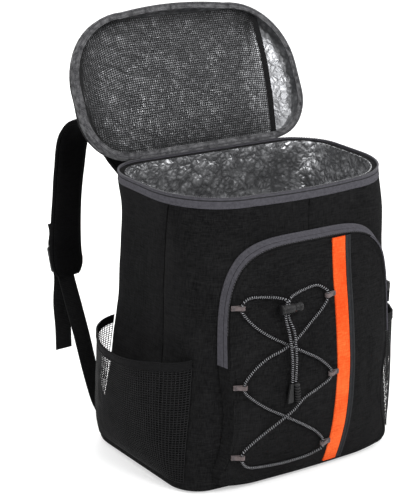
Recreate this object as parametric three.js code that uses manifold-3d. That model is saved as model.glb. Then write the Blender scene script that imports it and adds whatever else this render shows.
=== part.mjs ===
// A cooler backpack with its lid open: padded tub, foil lining, domed front pocket with a laced elastic
// cord, two mesh side pockets and two padded shoulder straps.
// Millimetres, +Z up. The origin is the centre of the underside, -Y is the front and +X is the right side
// as seen from the front.
import * as THREE from "three";
import { mergeVertices } from "three/addons/utils/BufferGeometryUtils.js";
import Module from "manifold-3d";

const wasm = await Module();
wasm.setup();

// Body
const BODY_HEIGHT = 350;
const BASE_WIDTH = 324;
const BASE_DEPTH = 216;
const BASE_FRONT_CORNER = 41;
const BASE_BACK_CORNER = 38;
const BASE_EDGE = 9;
const RIM_WIDTH = 317;
const RIM_DEPTH = 191;
const RIM_FRONT_CORNER = 88;
const RIM_BACK_CORNER = 55;
const FRONT_BOW = 5.6;
const WAIST = 25;
const WALL = 8;
const LINER = 1.2;
const SEAT = 0.35;

// Zip tapes
const TAPE_HEIGHT = 12.5;
const TAPE_THICKNESS = 1.6;
const TAPE_RISE = 2;

// Lid
const LID_WIDTH = 332;
const LID_DEPTH = 181;
const LID_FAR_CORNER = 89;
const LID_HINGE_CORNER = 59;
const LID_HEIGHT = 25;
const LID_TAPE_HEIGHT = 8.5;
const LID_CROWN = 5;
const LID_SIDE_WALL = 4;
const LID_TOP_WALL = 7;
const LID_OPEN = 117;
const LID_LIP = 8;
const HINGE_WIDTH = 210;
const HINGE_LEG = 11;
const HINGE_THICKNESS = 1.8;
const LID_MESH_THICKNESS = 1.2;
const LID_MESH_BULGE = 7;
const LID_MESH_RIGHT = 112;
const LID_BINDING_WIDTH = 8;

// Front pocket
const POCKET_HEIGHT = 298;
const POCKET_HALF_WIDTH = 121;
const POCKET_CENTRE = 2.5;
const POCKET_ARCH_HEIGHT = 141;
const POCKET_ARCH_POWER = 4;
const POCKET_DEPTH = 16;
const POCKET_DOME = 12;
const POCKET_WALL = 2.5;
const POCKET_HEM = 5;
const GUSSET_SIDE_INSET = 3.5;
const GUSSET_TOP_INSET = 7.5;
const FRONT_TAPE_THICKNESS = 1.5;
const STRIPE_LEFT = 27;
const STRIPE_WIDTH = 20;
const STRIPE_THICKNESS = 1.2;
const PIPING_LEFT = 52;
const PIPING_WIDTH = 3;
const PIPING_THICKNESS = 2;

// Loops, elastic cord, its lock and its end
const CORD_DIAMETER = 3;
const CORD_CLEARANCE = 0.45;
const LOOP_LENGTH = 16;
const LOOP_SEAT = 0.95;
const LOOP_WIDTH = 7;
const LOOP_WALL = 1.4;
const LOCK_RADIUS = 7.5;
const LOCK_LENGTH = 20;
const LOCK_X = -48;
const LOCK_Z = 222;
const BUTTON_RADIUS = 6;
const BUTTON_FLANGE = 7.2;
const BUTTON_LENGTH = 9;
const CORD_END_WIDTH = 11;
const CORD_END_LENGTH = 24;
const CORD_END_THICKNESS = 7;

// Side pockets
const SIDE_POCKET_TOP = 162;
const SIDE_POCKET_DIP = 9;
const SIDE_POCKET_BOTTOM = 13;
const SIDE_POCKET_BULGE = 46;
const SIDE_POCKET_THICKNESS = 1.5;
const SIDE_BINDING_HEIGHT = 11;
const SIDE_BINDING_THICKNESS = 2.6;

// Back panel, shoulder straps and their webbing
const BACK_PANEL_WIDTH = 214;
const BACK_PANEL_BOTTOM = 30;
const BACK_PANEL_TOP = 322;
const BACK_PANEL_THICKNESS = 6;
const BACK_PANEL_CORNER = 30;
const STRAP_TOP_WIDTH = 56;
const STRAP_NECK_WIDTH = 46;
const STRAP_END_WIDTH = 53;
const STRAP_THICKNESS = 11;
const WEBBING_WIDTH = 25;
const WEBBING_THICKNESS = 1.6;
const LADDER_WIDTH = 34;
const LADDER_HEIGHT = 33;
const LADDER_THICKNESS = 4;
const LADDER_BAR = 4.5;
const SLIDER_WIDTH = 9;
const SLIDER_LENGTH = 12;
const SLIDER_THICKNESS = 4.5;
const PULL_WIDTH = 6;
const PULL_LENGTH = 24;
const PULL_THICKNESS = 1.6;

const FABRIC = { color: 0x232325, roughness: 0.95, metalness: 0 };
const GREY_TAPE = { color: 0x58575c, roughness: 0.85, metalness: 0 };
const FOIL = { color: 0xb9bcc0, roughness: 0.28, metalness: 0.85 };
const MESH = { color: 0x121213, roughness: 0.9, metalness: 0 };
const ORANGE = { color: 0xf05a23, roughness: 0.8, metalness: 0 };
const LOOP_GREY = { color: 0x786c6c, roughness: 0.85, metalness: 0 };
const BLACK_PLASTIC = { color: 0x151517, roughness: 0.45, metalness: 0 };
const CORD_BLACK = { color: 0x1d1d1e, roughness: 0.8, metalness: 0 };

// Half of a padded band's outline, as shares of its half width and half thickness.
const PAD_OUTLINE = [[-1, -0.25], [-0.8, -1], [0.8, -1], [1, -0.25], [1, 0.25], [0.8, 1], [-0.8, 1], [-1, 0.25]];
const FLAT_OUTLINE = [[-1, -1], [1, -1], [1, 1], [-1, 1]];

// Geometry helpers
const mix = (a, b, share) => a + (b - a) * share;
const vector = (x, y, z) => new THREE.Vector3(x, y, z);

// A geometry from points and triangles, with its faces turned outwards.
function solid(points, triangles) {
  let volume = 0;
  for (const [a, b, c] of triangles) {
    volume += points[a].dot(points[b].clone().cross(points[c]));
  }
  const faces = volume < 0 ? triangles.map(([a, b, c]) => [a, c, b]) : triangles;
  const geometry = new THREE.BufferGeometry();
  geometry.setAttribute("position", new THREE.Float32BufferAttribute(points.flatMap((p) => p.toArray()), 3));
  geometry.setIndex(faces.flat());
  return geometry;
}

// Rings of equal count joined one after another; the ends are capped, or joined to each other.
function skin(rings, joined = false) {
  const count = rings[0].length;
  const points = rings.flat();
  const triangles = [];
  const last = joined ? rings.length : rings.length - 1;
  for (let row = 0; row < last; row += 1) {
    const here = row * count;
    const next = ((row + 1) % rings.length) * count;
    for (let k = 0; k < count; k += 1) {
      const after = (k + 1) % count;
      triangles.push([here + k, here + after, next + after], [here + k, next + after, next + k]);
    }
  }
  if (!joined) {
    for (const [row, turn] of [[0, true], [rings.length - 1, false]]) {
      const middle = points.length;
      const centre = rings[row].reduce((sum, p) => sum.add(p), vector(0, 0, 0)).divideScalar(count);
      points.push(centre);
      for (let k = 0; k < count; k += 1) {
        const a = row * count + k;
        const b = row * count + ((k + 1) % count);
        triangles.push(turn ? [middle, b, a] : [middle, a, b]);
      }
    }
  }
  return solid(points, triangles);
}

// A sheet with thickness from two grids of points, outer[column][row] and inner[column][row].
function sheet(outer, inner) {
  const columns = outer.length;
  const rows = outer[0].length;
  const points = [...outer.flat(), ...inner.flat()];
  const front = (column, row) => column * rows + row;
  const back = (column, row) => columns * rows + column * rows + row;
  const triangles = [];
  const quad = (a, b, c, d) => triangles.push([a, b, c], [a, c, d]);
  for (let column = 0; column < columns - 1; column += 1) {
    for (let row = 0; row < rows - 1; row += 1) {
      quad(front(column, row), front(column + 1, row), front(column + 1, row + 1), front(column, row + 1));
      quad(back(column, row), back(column, row + 1), back(column + 1, row + 1), back(column + 1, row));
    }
    quad(front(column, 0), back(column, 0), back(column + 1, 0), front(column + 1, 0));
    const top = rows - 1;
    quad(front(column, top), front(column + 1, top), back(column + 1, top), back(column, top));
  }
  for (let row = 0; row < rows - 1; row += 1) {
    const end = columns - 1;
    quad(front(0, row), front(0, row + 1), back(0, row + 1), back(0, row));
    quad(front(end, row), back(end, row), back(end, row + 1), front(end, row + 1));
  }
  return solid(points, triangles);
}

// A closed geometry as a manifold solid, and back.
function manifoldOf(geometry) {
  const bare = geometry.clone().deleteAttribute("normal").deleteAttribute("uv");
  const merged = mergeVertices(bare);
  return new wasm.Manifold(new wasm.Mesh({
    numProp: 3,
    vertProperties: merged.getAttribute("position").array,
    triVerts: new Uint32Array(merged.index.array),
  }));
}

function cut(geometry, tool) {
  const result = manifoldOf(geometry).subtract(manifoldOf(tool)).getMesh();
  const made = new THREE.BufferGeometry();
  made.setAttribute("position", new THREE.BufferAttribute(result.vertProperties, 3));
  made.setIndex(new THREE.BufferAttribute(result.triVerts, 1));
  return made;
}

function named(name, geometry, finish, parent) {
  const mesh = new THREE.Mesh(geometry, new THREE.MeshStandardMaterial(finish));
  mesh.name = name;
  parent.add(mesh);
  return mesh;
}

// Body sections
// height: share of BODY_HEIGHT; the width and depth run evenly from the base's to the rim's.
// waist: share of WAIST that the width is drawn in.
// front and back: 0 has the base's corner radius, 1 the rim's.
const BODY_SECTIONS = [
  { height: BASE_EDGE / BODY_HEIGHT, waist: 0, front: 0, back: 0 },
  { height: 0.14, waist: 0.15, front: 0, back: 0.15 },
  { height: 0.32, waist: 0.6, front: 0.03, back: 0.3 },
  { height: 0.52, waist: 0.95, front: 0.06, back: 0.55 },
  { height: 0.72, waist: 1, front: 0.1, back: 0.65 },
  { height: 0.88, waist: 0.75, front: 0.35, back: 0.8 },
  { height: 0.96, waist: 0.15, front: 0.88, back: 0.95 },
  { height: 1, waist: 0, front: 1, back: 1 },
];
const CORNER_STEPS = 5;
const FRONT_STEPS = 6;

// The body's section at a height, between the rows of the table.
function sectionAt(z) {
  const height = Math.min(Math.max(z / BODY_HEIGHT, BODY_SECTIONS[0].height), 1);
  const upper = Math.max(BODY_SECTIONS.findIndex((row) => row.height >= height), 1);
  const low = BODY_SECTIONS[upper - 1];
  const high = BODY_SECTIONS[upper];
  const share = (height - low.height) / (high.height - low.height);
  const at = (column) => mix(low[column], high[column], share);
  return {
    width: mix(BASE_WIDTH, RIM_WIDTH, height) - WAIST * at("waist"),
    depth: mix(BASE_DEPTH, RIM_DEPTH, height),
    frontCorner: mix(BASE_FRONT_CORNER, RIM_FRONT_CORNER, at("front")),
    backCorner: mix(BASE_BACK_CORNER, RIM_BACK_CORNER, at("back")),
    bow: FRONT_BOW,
  };
}

// A rounded rectangle with a bowed front, grown outwards by grow, as a ring of points at height z.
function ringOf(section, z, grow = 0) {
  const halfWidth = section.width / 2 + grow;
  const halfDepth = section.depth / 2 + grow;
  const corners = [
    { side: 1, end: 1, radius: section.backCorner, start: 0 },
    { side: -1, end: 1, radius: section.backCorner, start: 90 },
    { side: -1, end: -1, radius: section.frontCorner, start: 180 },
    { side: 1, end: -1, radius: section.frontCorner, start: 270 },
  ];
  const points = [];
  for (const { side, end, radius, start } of corners) {
    const round = Math.max(radius + grow, 1);
    if (side === 1 && end === -1) {
      const reach = halfWidth - round;
      for (let k = 1; k < FRONT_STEPS; k += 1) {
        const across = -1 + (2 * k) / FRONT_STEPS;
        points.push(vector(across * reach, -halfDepth - section.bow * (1 - across * across), z));
      }
    }
    for (let k = 0; k <= CORNER_STEPS; k += 1) {
      const angle = THREE.MathUtils.degToRad(start + (90 * k) / CORNER_STEPS);
      const x = side * (halfWidth - round) + round * Math.cos(angle);
      const y = end * (halfDepth - round) + round * Math.sin(angle);
      points.push(vector(x, y, z));
    }
  }
  return points;
}

// The y of the body's front surface at x and z.
function bodyFront(x, z) {
  const { width, depth, frontCorner, bow } = sectionAt(z);
  const reach = width / 2 - frontCorner;
  const past = Math.abs(x) - reach;
  if (past <= 0) return -depth / 2 - bow * (1 - (x / reach) ** 2);
  const inside = Math.sqrt(Math.max(frontCorner ** 2 - Math.min(past, frontCorner) ** 2, 0));
  return -depth / 2 + frontCorner - inside;
}

const bodyRing = (z, grow = 0) => ringOf(sectionAt(z), z, grow);
const bodyHeights = BODY_SECTIONS.map((row) => row.height * BODY_HEIGHT);
const TAPE_BOTTOM = BODY_HEIGHT - TAPE_HEIGHT;
const SHELL_TOP = BODY_HEIGHT - TAPE_RISE;
const SHELL_STEP = TAPE_THICKNESS + SEAT;
const wallHeights = bodyHeights.filter((z) => z < TAPE_BOTTOM - 1);

function bodyShell() {
  const edge = [
    ringOf(sectionAt(0), 0, -BASE_EDGE),
    ringOf(sectionAt(0), BASE_EDGE * 0.3, -BASE_EDGE * 0.3),
  ];
  const outside = wallHeights.map((z) => bodyRing(z));
  const step = [
    bodyRing(TAPE_BOTTOM - SEAT),
    bodyRing(TAPE_BOTTOM - SEAT, -SHELL_STEP),
    bodyRing(SHELL_TOP, -SHELL_STEP),
  ];
  const inside = [SHELL_TOP, TAPE_BOTTOM - SEAT, ...wallHeights.slice().reverse()];
  return skin([...edge, ...outside, ...step, ...inside.map((z) => bodyRing(z, -WALL))]);
}

function cabinLiner() {
  const floor = wallHeights[0] + SEAT;
  const heights = [floor, ...wallHeights.slice(1), TAPE_BOTTOM - SEAT, SHELL_TOP - SEAT];
  const outside = heights.map((z) => bodyRing(z, -WALL - SEAT));
  const inside = heights.slice().reverse().map((z) => bodyRing(z, -WALL - SEAT - LINER));
  inside[inside.length - 1] = bodyRing(floor + LINER, -WALL - SEAT - LINER);
  return skin([...outside, ...inside]);
}

function rimTape() {
  return skin([
    bodyRing(TAPE_BOTTOM),
    bodyRing(BODY_HEIGHT),
    bodyRing(BODY_HEIGHT, -TAPE_THICKNESS),
    bodyRing(TAPE_BOTTOM, -TAPE_THICKNESS),
  ], true);
}

// Lid pieces, drawn closed: the rim plane is z = 0, the hinge is at y = 0 and the far edge at -LID_DEPTH.
const LID_SECTION = {
  width: LID_WIDTH,
  depth: LID_DEPTH,
  frontCorner: LID_FAR_CORNER,
  backCorner: LID_HINGE_CORNER,
  bow: FRONT_BOW,
};
const LID_MIDDLE = -LID_DEPTH / 2;
const LIP_BELOW = TAPE_THICKNESS / 2;
const LID_EDGE = LIP_BELOW + SEAT;

function lidRing(z, grow) {
  return ringOf(LID_SECTION, z, grow).map((p) => p.add(vector(0, LID_MIDDLE, 0)));
}

function lidShell() {
  const step = -TAPE_THICKNESS - SEAT;
  const lining = -LID_SIDE_WALL - TAPE_THICKNESS;
  const ceiling = LID_HEIGHT - LID_TOP_WALL;
  return skin([
    lidRing(ceiling + LID_CROWN * 0.9, lining - LID_HEIGHT * 1.3),
    lidRing(ceiling, lining - LID_TOP_WALL),
    lidRing(ceiling - LID_TOP_WALL * 0.6, lining),
    lidRing(LID_EDGE, lining),
    lidRing(LID_EDGE, step),
    lidRing(LID_TAPE_HEIGHT + SEAT, step),
    lidRing(LID_TAPE_HEIGHT + SEAT, -1),
    lidRing(LID_HEIGHT * 0.72, -LID_HEIGHT * 0.15),
    lidRing(LID_HEIGHT * 0.92, -LID_HEIGHT * 0.32),
    lidRing(LID_HEIGHT, -LID_HEIGHT * 0.6),
    lidRing(LID_HEIGHT + LID_CROWN * 0.9, -LID_HEIGHT * 1.6),
  ]);
}

function lidLiner() {
  const outside = -LID_SIDE_WALL - TAPE_THICKNESS - SEAT;
  const ceiling = LID_HEIGHT - LID_TOP_WALL - SEAT;
  const profile = [
    { z: ceiling + LID_CROWN * 0.9, grow: outside - LID_HEIGHT * 1.3 },
    { z: ceiling, grow: outside - LID_TOP_WALL },
    { z: ceiling - LID_TOP_WALL * 0.6, grow: outside },
  ];
  return skin([
    ...profile.map(({ z, grow }) => lidRing(z, grow)),
    lidRing(LID_EDGE + SEAT, outside),
    lidRing(LID_EDGE + SEAT, outside - LINER),
    ...profile.reverse().map(({ z, grow }) => lidRing(z - LINER, grow - LINER)),
  ]);
}

function lidTape() {
  return skin([
    lidRing(LID_TAPE_HEIGHT, 0),
    lidRing(LID_TAPE_HEIGHT, -TAPE_THICKNESS),
    lidRing(LIP_BELOW, -TAPE_THICKNESS),
    lidRing(LIP_BELOW, -LID_LIP),
    lidRing(-LIP_BELOW, -LID_LIP),
    lidRing(-LIP_BELOW, 0),
  ], true);
}

// The near and far y of the lid's opening at x, drawn in from its outline.
function lidReach(x, inset) {
  const limit = (corner) => {
    const past = Math.abs(x) - (LID_WIDTH / 2 - corner);
    const radius = corner - inset;
    const drop = past > 0 ? radius - Math.sqrt(Math.max(radius ** 2 - past ** 2, 0)) : 0;
    return LID_DEPTH / 2 - inset - drop;
  };
  return {
    near: LID_MIDDLE + limit(LID_HINGE_CORNER),
    far: LID_MIDDLE - limit(LID_FAR_CORNER),
  };
}

const MESH_INSET = LID_SIDE_WALL + TAPE_THICKNESS + LINER + 5 * SEAT;
const MESH_LEFT = -LID_WIDTH / 2 + MESH_INSET;
const MESH_SEAT = LID_EDGE + SEAT + LID_MESH_THICKNESS;

// A strip of the lid's mesh between two places across, bulging out of the tray.
function lidNet(from, to, thickness, columns, rows) {
  const grid = (lift) => Array.from({ length: columns + 1 }, (_, column) => {
    const x = mix(from, to, column / columns);
    const { near, far } = lidReach(x, MESH_INSET);
    const side = Math.min((x - MESH_LEFT) / (0.25 * LID_WIDTH), 1);
    return Array.from({ length: rows + 1 }, (_, row) => {
      const share = row / rows;
      const swell = LID_MESH_BULGE * Math.sin(Math.PI * share) * Math.sin((Math.PI / 2) * side);
      return vector(x, mix(near, far, share), MESH_SEAT - swell + lift);
    });
  });
  return sheet(grid(0), grid(thickness));
}

function buildLid(parent) {
  const lid = new THREE.Group();
  lid.position.set(0, RIM_DEPTH / 2 + SEAT + HINGE_THICKNESS, BODY_HEIGHT + SEAT);
  lid.rotation.x = -THREE.MathUtils.degToRad(LID_OPEN);
  parent.add(lid);
  const bindingLeft = LID_MESH_RIGHT - LID_BINDING_WIDTH;
  named("lid_shell", lidShell(), FABRIC, lid);
  named("lid_foil_liner", lidLiner(), FOIL, lid);
  named("lid_zip_tape", lidTape(), GREY_TAPE, lid);
  const net = lidNet(MESH_LEFT + SEAT, bindingLeft - SEAT, LID_MESH_THICKNESS, 12, 6);
  named("lid_mesh_pocket", net, MESH, lid);
  named("lid_pocket_binding", lidNet(bindingLeft, LID_MESH_RIGHT, 2 * LID_MESH_THICKNESS, 1, 6), MESH, lid);
}

// The cloth hinge: one leg on the body's back, one on the lid's hinge side, folded at the top.
function hinge() {
  const open = THREE.MathUtils.degToRad(LID_OPEN);
  const back = RIM_DEPTH / 2 + SEAT;
  const fold = vector(0, back + HINGE_THICKNESS / 2, BODY_HEIGHT - SEAT);
  const along = vector(0, Math.sin(open), Math.cos(open)).multiplyScalar(HINGE_LEG);
  const off = vector(0, -Math.cos(open), Math.sin(open));
  const half = HINGE_THICKNESS / 2;
  const profile = [
    vector(0, sectionAt(BODY_HEIGHT - HINGE_LEG).depth / 2 + SEAT, BODY_HEIGHT - HINGE_LEG),
    fold.clone().add(vector(0, -half, 0)),
    fold.clone().add(along).addScaledVector(off, half - SEAT),
    fold.clone().add(along).addScaledVector(off, -half - SEAT),
    fold.clone().add(vector(0, half, -HINGE_THICKNESS)),
    vector(0, sectionAt(BODY_HEIGHT - HINGE_LEG).depth / 2 + SEAT + HINGE_THICKNESS, BODY_HEIGHT - HINGE_LEG),
  ];
  const outer = [-1, 1].map((side) => profile.map((p) => p.clone().setX((side * HINGE_WIDTH) / 2)));
  return skin(outer);
}

// Front pocket
// height and width: shares of POCKET_HEIGHT and POCKET_HALF_WIDTH, below the arch.
const POCKET_SIDES = [
  { height: 0.475, width: 1 },
  { height: 0.38, width: 0.97 },
  { height: 0.27, width: 0.95 },
  { height: 0.15, width: 1 },
  { height: 0.07, width: 1.07 },
  { height: 0.022, width: 1.05 },
  { height: 0.012, width: 0.96 },
];
// height: share of POCKET_HEIGHT. depth: share of POCKET_DEPTH that the gusset stands out of the body.
const POCKET_GUSSET = [
  { height: 0, depth: 0.15 },
  { height: 0.08, depth: 0.55 },
  { height: 0.2, depth: 0.85 },
  { height: 0.45, depth: 1 },
  { height: 0.65, depth: 0.75 },
  { height: 0.8, depth: 0.6 },
  { height: 1, depth: 0.65 },
];
const POCKET_RINGS = [1, 0.9, 0.68, 0.42, 0.17];
const ARCH_STEPS = 22;
const BOTTOM_STEPS = 7;

// The pocket's outline seen from the front, from the right side over the arch to the left side and back.
function pocketOutline() {
  const base = POCKET_HEIGHT - POCKET_ARCH_HEIGHT;
  const points = [];
  const superellipse = (value) => Math.sign(value) * Math.abs(value) ** (2 / POCKET_ARCH_POWER);
  for (let k = 0; k <= ARCH_STEPS; k += 1) {
    const angle = (Math.PI * k) / ARCH_STEPS;
    const across = superellipse(Math.cos(angle));
    const up = superellipse(Math.sin(angle));
    points.push(new THREE.Vector2(POCKET_HALF_WIDTH * across, base + POCKET_ARCH_HEIGHT * up));
  }
  const rows = POCKET_SIDES.map(({ height, width }) => ({
    x: width * POCKET_HALF_WIDTH,
    z: POCKET_HEM + height * (POCKET_HEIGHT - POCKET_HEM),
  }));
  for (const { x, z } of rows) points.push(new THREE.Vector2(-x, z));
  const last = rows[rows.length - 1];
  for (let k = 1; k < BOTTOM_STEPS; k += 1) {
    points.push(new THREE.Vector2(mix(-last.x, last.x, k / BOTTOM_STEPS), POCKET_HEM));
  }
  for (const { x, z } of rows.reverse()) points.push(new THREE.Vector2(x, z));
  return points;
}

const OUTLINE = pocketOutline();
const OUTLINE_MIDDLE = new THREE.Vector2(0, POCKET_HEIGHT / 2);

// The seam between the gusset and the face: the outline drawn in at the sides and at the top of the arch.
const FACE_SEAM = OUTLINE.map((edge) => {
  const foot = POCKET_HEIGHT - POCKET_ARCH_HEIGHT;
  const top = Math.max((edge.y - foot) / POCKET_ARCH_HEIGHT, 0);
  const x = edge.x * (1 - GUSSET_SIDE_INSET / POCKET_HALF_WIDTH);
  return new THREE.Vector2(x, edge.y - GUSSET_TOP_INSET * top);
});

function tableAt(table, height, column) {
  const upper = Math.max(table.findIndex((row) => row.height >= height), 1);
  const low = table[upper - 1];
  const high = table[upper];
  return mix(low[column], high[column], (height - low.height) / (high.height - low.height));
}

// How far out of the body the face stands at a share of the way from its middle to its seam.
function faceDepth(share, z) {
  const height = Math.min(Math.max(z / POCKET_HEIGHT, 0), 1);
  const gusset = POCKET_DEPTH * tableAt(POCKET_GUSSET, height, "depth");
  const swell = Math.sin(Math.PI * mix(0.16, 0.96, height));
  return gusset + POCKET_DOME * (1 - Math.min(share, 1) ** 3) * swell;
}

// The share of the way from the face's middle to its seam at a point.
function faceShare(x, z) {
  const point = new THREE.Vector2(x - POCKET_CENTRE, z).sub(OUTLINE_MIDDLE);
  for (let k = 0; k < FACE_SEAM.length; k += 1) {
    const a = FACE_SEAM[k].clone().sub(OUTLINE_MIDDLE);
    const side = FACE_SEAM[(k + 1) % FACE_SEAM.length].clone().sub(OUTLINE_MIDDLE).sub(a);
    const across = point.cross(side);
    const reach = a.cross(side) / across;
    const along = a.cross(point) / across;
    if (Math.abs(across) > 1e-9 && reach > 0 && along > -1e-6 && along < 1 + 1e-6) return 1 / reach;
  }
  return 0;
}

// The y of the pocket's outer face at x and z.
function pocketFront(x, z) {
  return bodyFront(x, z) - SEAT - POCKET_WALL - faceDepth(faceShare(x, z), z);
}

// An outline drawn in by inset, or out, and scaled by share about its middle.
function pocketRing(outline, share = 1, inset = 0) {
  return outline.map((edge) => {
    const from = edge.clone().sub(OUTLINE_MIDDLE);
    const kept = (from.length() - inset) / from.length();
    const at = from.multiplyScalar(share * kept).add(OUTLINE_MIDDLE);
    return vector(at.x + POCKET_CENTRE, 0, at.y);
  });
}

const onBody = (p) => p.setY(bodyFront(p.x, p.z) - SEAT);

function frontPocket() {
  const outside = POCKET_RINGS.map((share) => pocketRing(FACE_SEAM, share)
    .map((p) => p.setY(pocketFront(p.x, p.z))));
  const inside = POCKET_RINGS.map((share) => pocketRing(FACE_SEAM, share, POCKET_WALL)
    .map((p) => p.setY(pocketFront(p.x, p.z) + POCKET_WALL)));
  const rim = [pocketRing(OUTLINE, 1, POCKET_WALL).map(onBody), pocketRing(OUTLINE).map(onBody)];
  return skin([...inside.reverse(), ...rim, ...outside]);
}

function frontTape() {
  const arch = (outline, inset) => pocketRing(outline, 1, inset).slice(0, ARCH_STEPS + 1);
  const faces = arch(FACE_SEAM, 0).map((p) => pocketFront(p.x, p.z));
  const grid = (side, lift) => {
    const face = arch(FACE_SEAM, -side).map((p, k) => p.setY(faces[k] - lift));
    return arch(OUTLINE, -side).map((p, k) => [onBody(p), face[k]]);
  };
  return sheet(grid(2 * SEAT + FRONT_TAPE_THICKNESS, FRONT_TAPE_THICKNESS / 2), grid(2 * SEAT, 0));
}

const BAND_SEAT = 0.5;

// A band up the pocket's face from one height to another.
function faceBand(left, width, thickness, low, high, steps) {
  const grid = (lift) => [left, left + width].map((x) => Array.from({ length: steps + 1 }, (_, k) => {
    const z = mix(low, high, k / steps);
    return facePoint(x, z, BAND_SEAT + lift);
  }));
  return sheet(grid(thickness), grid(0));
}

// A point that stands lift off the pocket's face at x and z.
function facePoint(x, z, lift) {
  return vector(x, pocketFront(x, z) - lift, z);
}

// Cord loops. side is 1 where the tip points to +X, and x and z are the place of its sewn end.
const LEFT_LOOP_X = POCKET_CENTRE - POCKET_HALF_WIDTH + GUSSET_SIDE_INSET + 2;
const RIGHT_LOOP_X = STRIPE_LEFT - 2 * SEAT;
const LOOPS = {
  left_1: { x: LEFT_LOOP_X, z: 228, side: 1 },
  left_2: { x: LEFT_LOOP_X, z: 135, side: 1 },
  left_3: { x: LEFT_LOOP_X, z: 48, side: 1 },
  right_1: { x: RIGHT_LOOP_X, z: 226, side: -1 },
  right_2: { x: RIGHT_LOOP_X, z: 133, side: -1 },
  right_3: { x: RIGHT_LOOP_X, z: 41, side: -1 },
};
const LOOP_HOLE = CORD_DIAMETER / 2 + CORD_CLEARANCE;
const LOOP_RADIUS = LOOP_HOLE + LOOP_WALL;
const LOOP_EYE = LOOP_LENGTH - LOOP_RADIUS;

// Where a loop lies: its sewn end, its lean across the face, and the middle of its eye.
function loopPlace({ x, z, side }) {
  const base = facePoint(x, z, LOOP_SEAT);
  const tip = facePoint(x + side * LOOP_LENGTH, z, LOOP_SEAT);
  const lean = Math.atan((tip.y - base.y) / (tip.x - base.x));
  const eye = vector(side * LOOP_EYE, -LOOP_RADIUS, 0).applyAxisAngle(vector(0, 0, 1), lean).add(base);
  return { base, lean, eye };
}

// A strip of webbing folded round the cord and sewn flat to the pocket's face at its other end.
function cordLoop(side) {
  const outline = new THREE.Shape();
  outline.moveTo(0, 0);
  outline.lineTo(LOOP_EYE, 0);
  outline.absarc(LOOP_EYE, LOOP_RADIUS, LOOP_RADIUS, -Math.PI / 2, Math.PI / 2, false);
  outline.lineTo(LOOP_EYE - LOOP_RADIUS, LOOP_RADIUS * 1.7);
  outline.lineTo(0, LOOP_WALL * 1.6);
  const hole = new THREE.Path();
  hole.absarc(LOOP_EYE, LOOP_RADIUS, LOOP_HOLE, 0, 2 * Math.PI, true);
  outline.holes.push(hole);
  const settings = { depth: LOOP_WIDTH, bevelEnabled: false, curveSegments: 5 };
  const geometry = new THREE.ExtrudeGeometry(outline, settings).translate(0, 0, -LOOP_WIDTH / 2);
  return side > 0 ? geometry.rotateX(Math.PI) : geometry.rotateZ(Math.PI);
}

function buildLoops(parent) {
  for (const [name, loop] of Object.entries(LOOPS)) {
    const { base, lean } = loopPlace(loop);
    const mesh = named(`cord_loop_${name}`, cordLoop(loop.side), LOOP_GREY, parent);
    mesh.rotation.z = lean;
    mesh.position.copy(base);
  }
}

// Cord lock: a barrel that lies across the face, with one slot for both cords, and a sprung button.
const LOCK_LIFT = LOCK_RADIUS + SEAT;
const lockPlace = facePoint(LOCK_X, LOCK_Z, LOCK_LIFT + LOOP_SEAT);
const CORD_APART = CORD_DIAMETER / 2 + 0.6;

function cordLock() {
  const barrel = new THREE.CylinderGeometry(LOCK_RADIUS, LOCK_RADIUS, LOCK_LENGTH, 12);
  barrel.rotateZ(Math.PI / 2);
  const width = 2 * CORD_APART + CORD_DIAMETER + 2 * CORD_CLEARANCE;
  const slot = new THREE.BoxGeometry(width, CORD_DIAMETER + 2 * CORD_CLEARANCE, 4 * LOCK_RADIUS);
  return cut(barrel, slot).translate(lockPlace.x, lockPlace.y, lockPlace.z);
}

function lockButton() {
  const half = BUTTON_LENGTH / 2;
  const profile = [
    [0, 0],
    [BUTTON_RADIUS, 0],
    [BUTTON_RADIUS, half],
    [BUTTON_FLANGE, half + 1],
    [BUTTON_FLANGE, BUTTON_LENGTH],
    [0, BUTTON_LENGTH + 0.8],
  ];
  const geometry = new THREE.LatheGeometry(profile.map(([r, y]) => new THREE.Vector2(r, y)), 12);
  geometry.rotateZ(-Math.PI / 2);
  return geometry.translate(lockPlace.x + LOCK_LENGTH / 2 + SEAT, lockPlace.y, lockPlace.z);
}

// Elastic cord. Its route is a chosen list of x and z on the pocket's face and how far the cord's middle
// stands off it, between the loops that it passes through.
const CORD_REST = CORD_DIAMETER / 2 + 0.7;
const CORD_OVER = CORD_REST + CORD_DIAMETER + 0.6;
const CORD_ROUTE = [
  { lock: -1 }, [-58, 235, 6], [-75, 237, 2.8], [-91, 238, 3],
  { loop: "left_1", up: -1 },
  [-87, 205, CORD_REST], [-67, 190, CORD_REST], [-44, 177, CORD_REST], [-22, 165, CORD_REST], [0, 152, CORD_REST],
  { loop: "right_2", up: -1 },
  [0, 119, CORD_REST], [-23, 109, CORD_REST], [-40, 99, CORD_OVER], [-58, 88, CORD_OVER], [-80, 71, CORD_REST],
  { loop: "left_3", up: -1 },
  [-91, 32, CORD_REST], [-59, 27, CORD_REST], [-21, 26, CORD_REST], [0, 28, CORD_REST],
  { loop: "right_3", up: 1 },
  [2, 59, CORD_REST], [-18, 73, CORD_REST], [-48, 91, CORD_REST], [-74, 106, CORD_REST], [-90, 118, CORD_REST],
  { loop: "left_2", up: 1 },
  [-90, 153, CORD_REST], [-72, 166, CORD_REST], [-56, 174, CORD_OVER], [-36, 184, CORD_OVER],
  [-10, 200, CORD_REST], [4, 210, CORD_REST],
  { loop: "right_1", up: 1 },
  [2, 239, CORD_REST], [-16, 238, CORD_REST], [-36, 235, 6], { lock: 1 },
];
const TAIL_ROUTES = {
  cord_tail_1: [{ lock: -1 }, [-49, 196, 10.4], [-47, 180, 10.4], [-45.5, 165, 9.6], [-44, 148, 7], [-43.2, 133, 5]],
  cord_tail_2: [{ lock: 1 }, [-42, 196, 10.4], [-41, 180, 10.4], [-40, 165, 9.6], [-39, 148, 7], [-38.8, 133, 5]],
};
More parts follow.
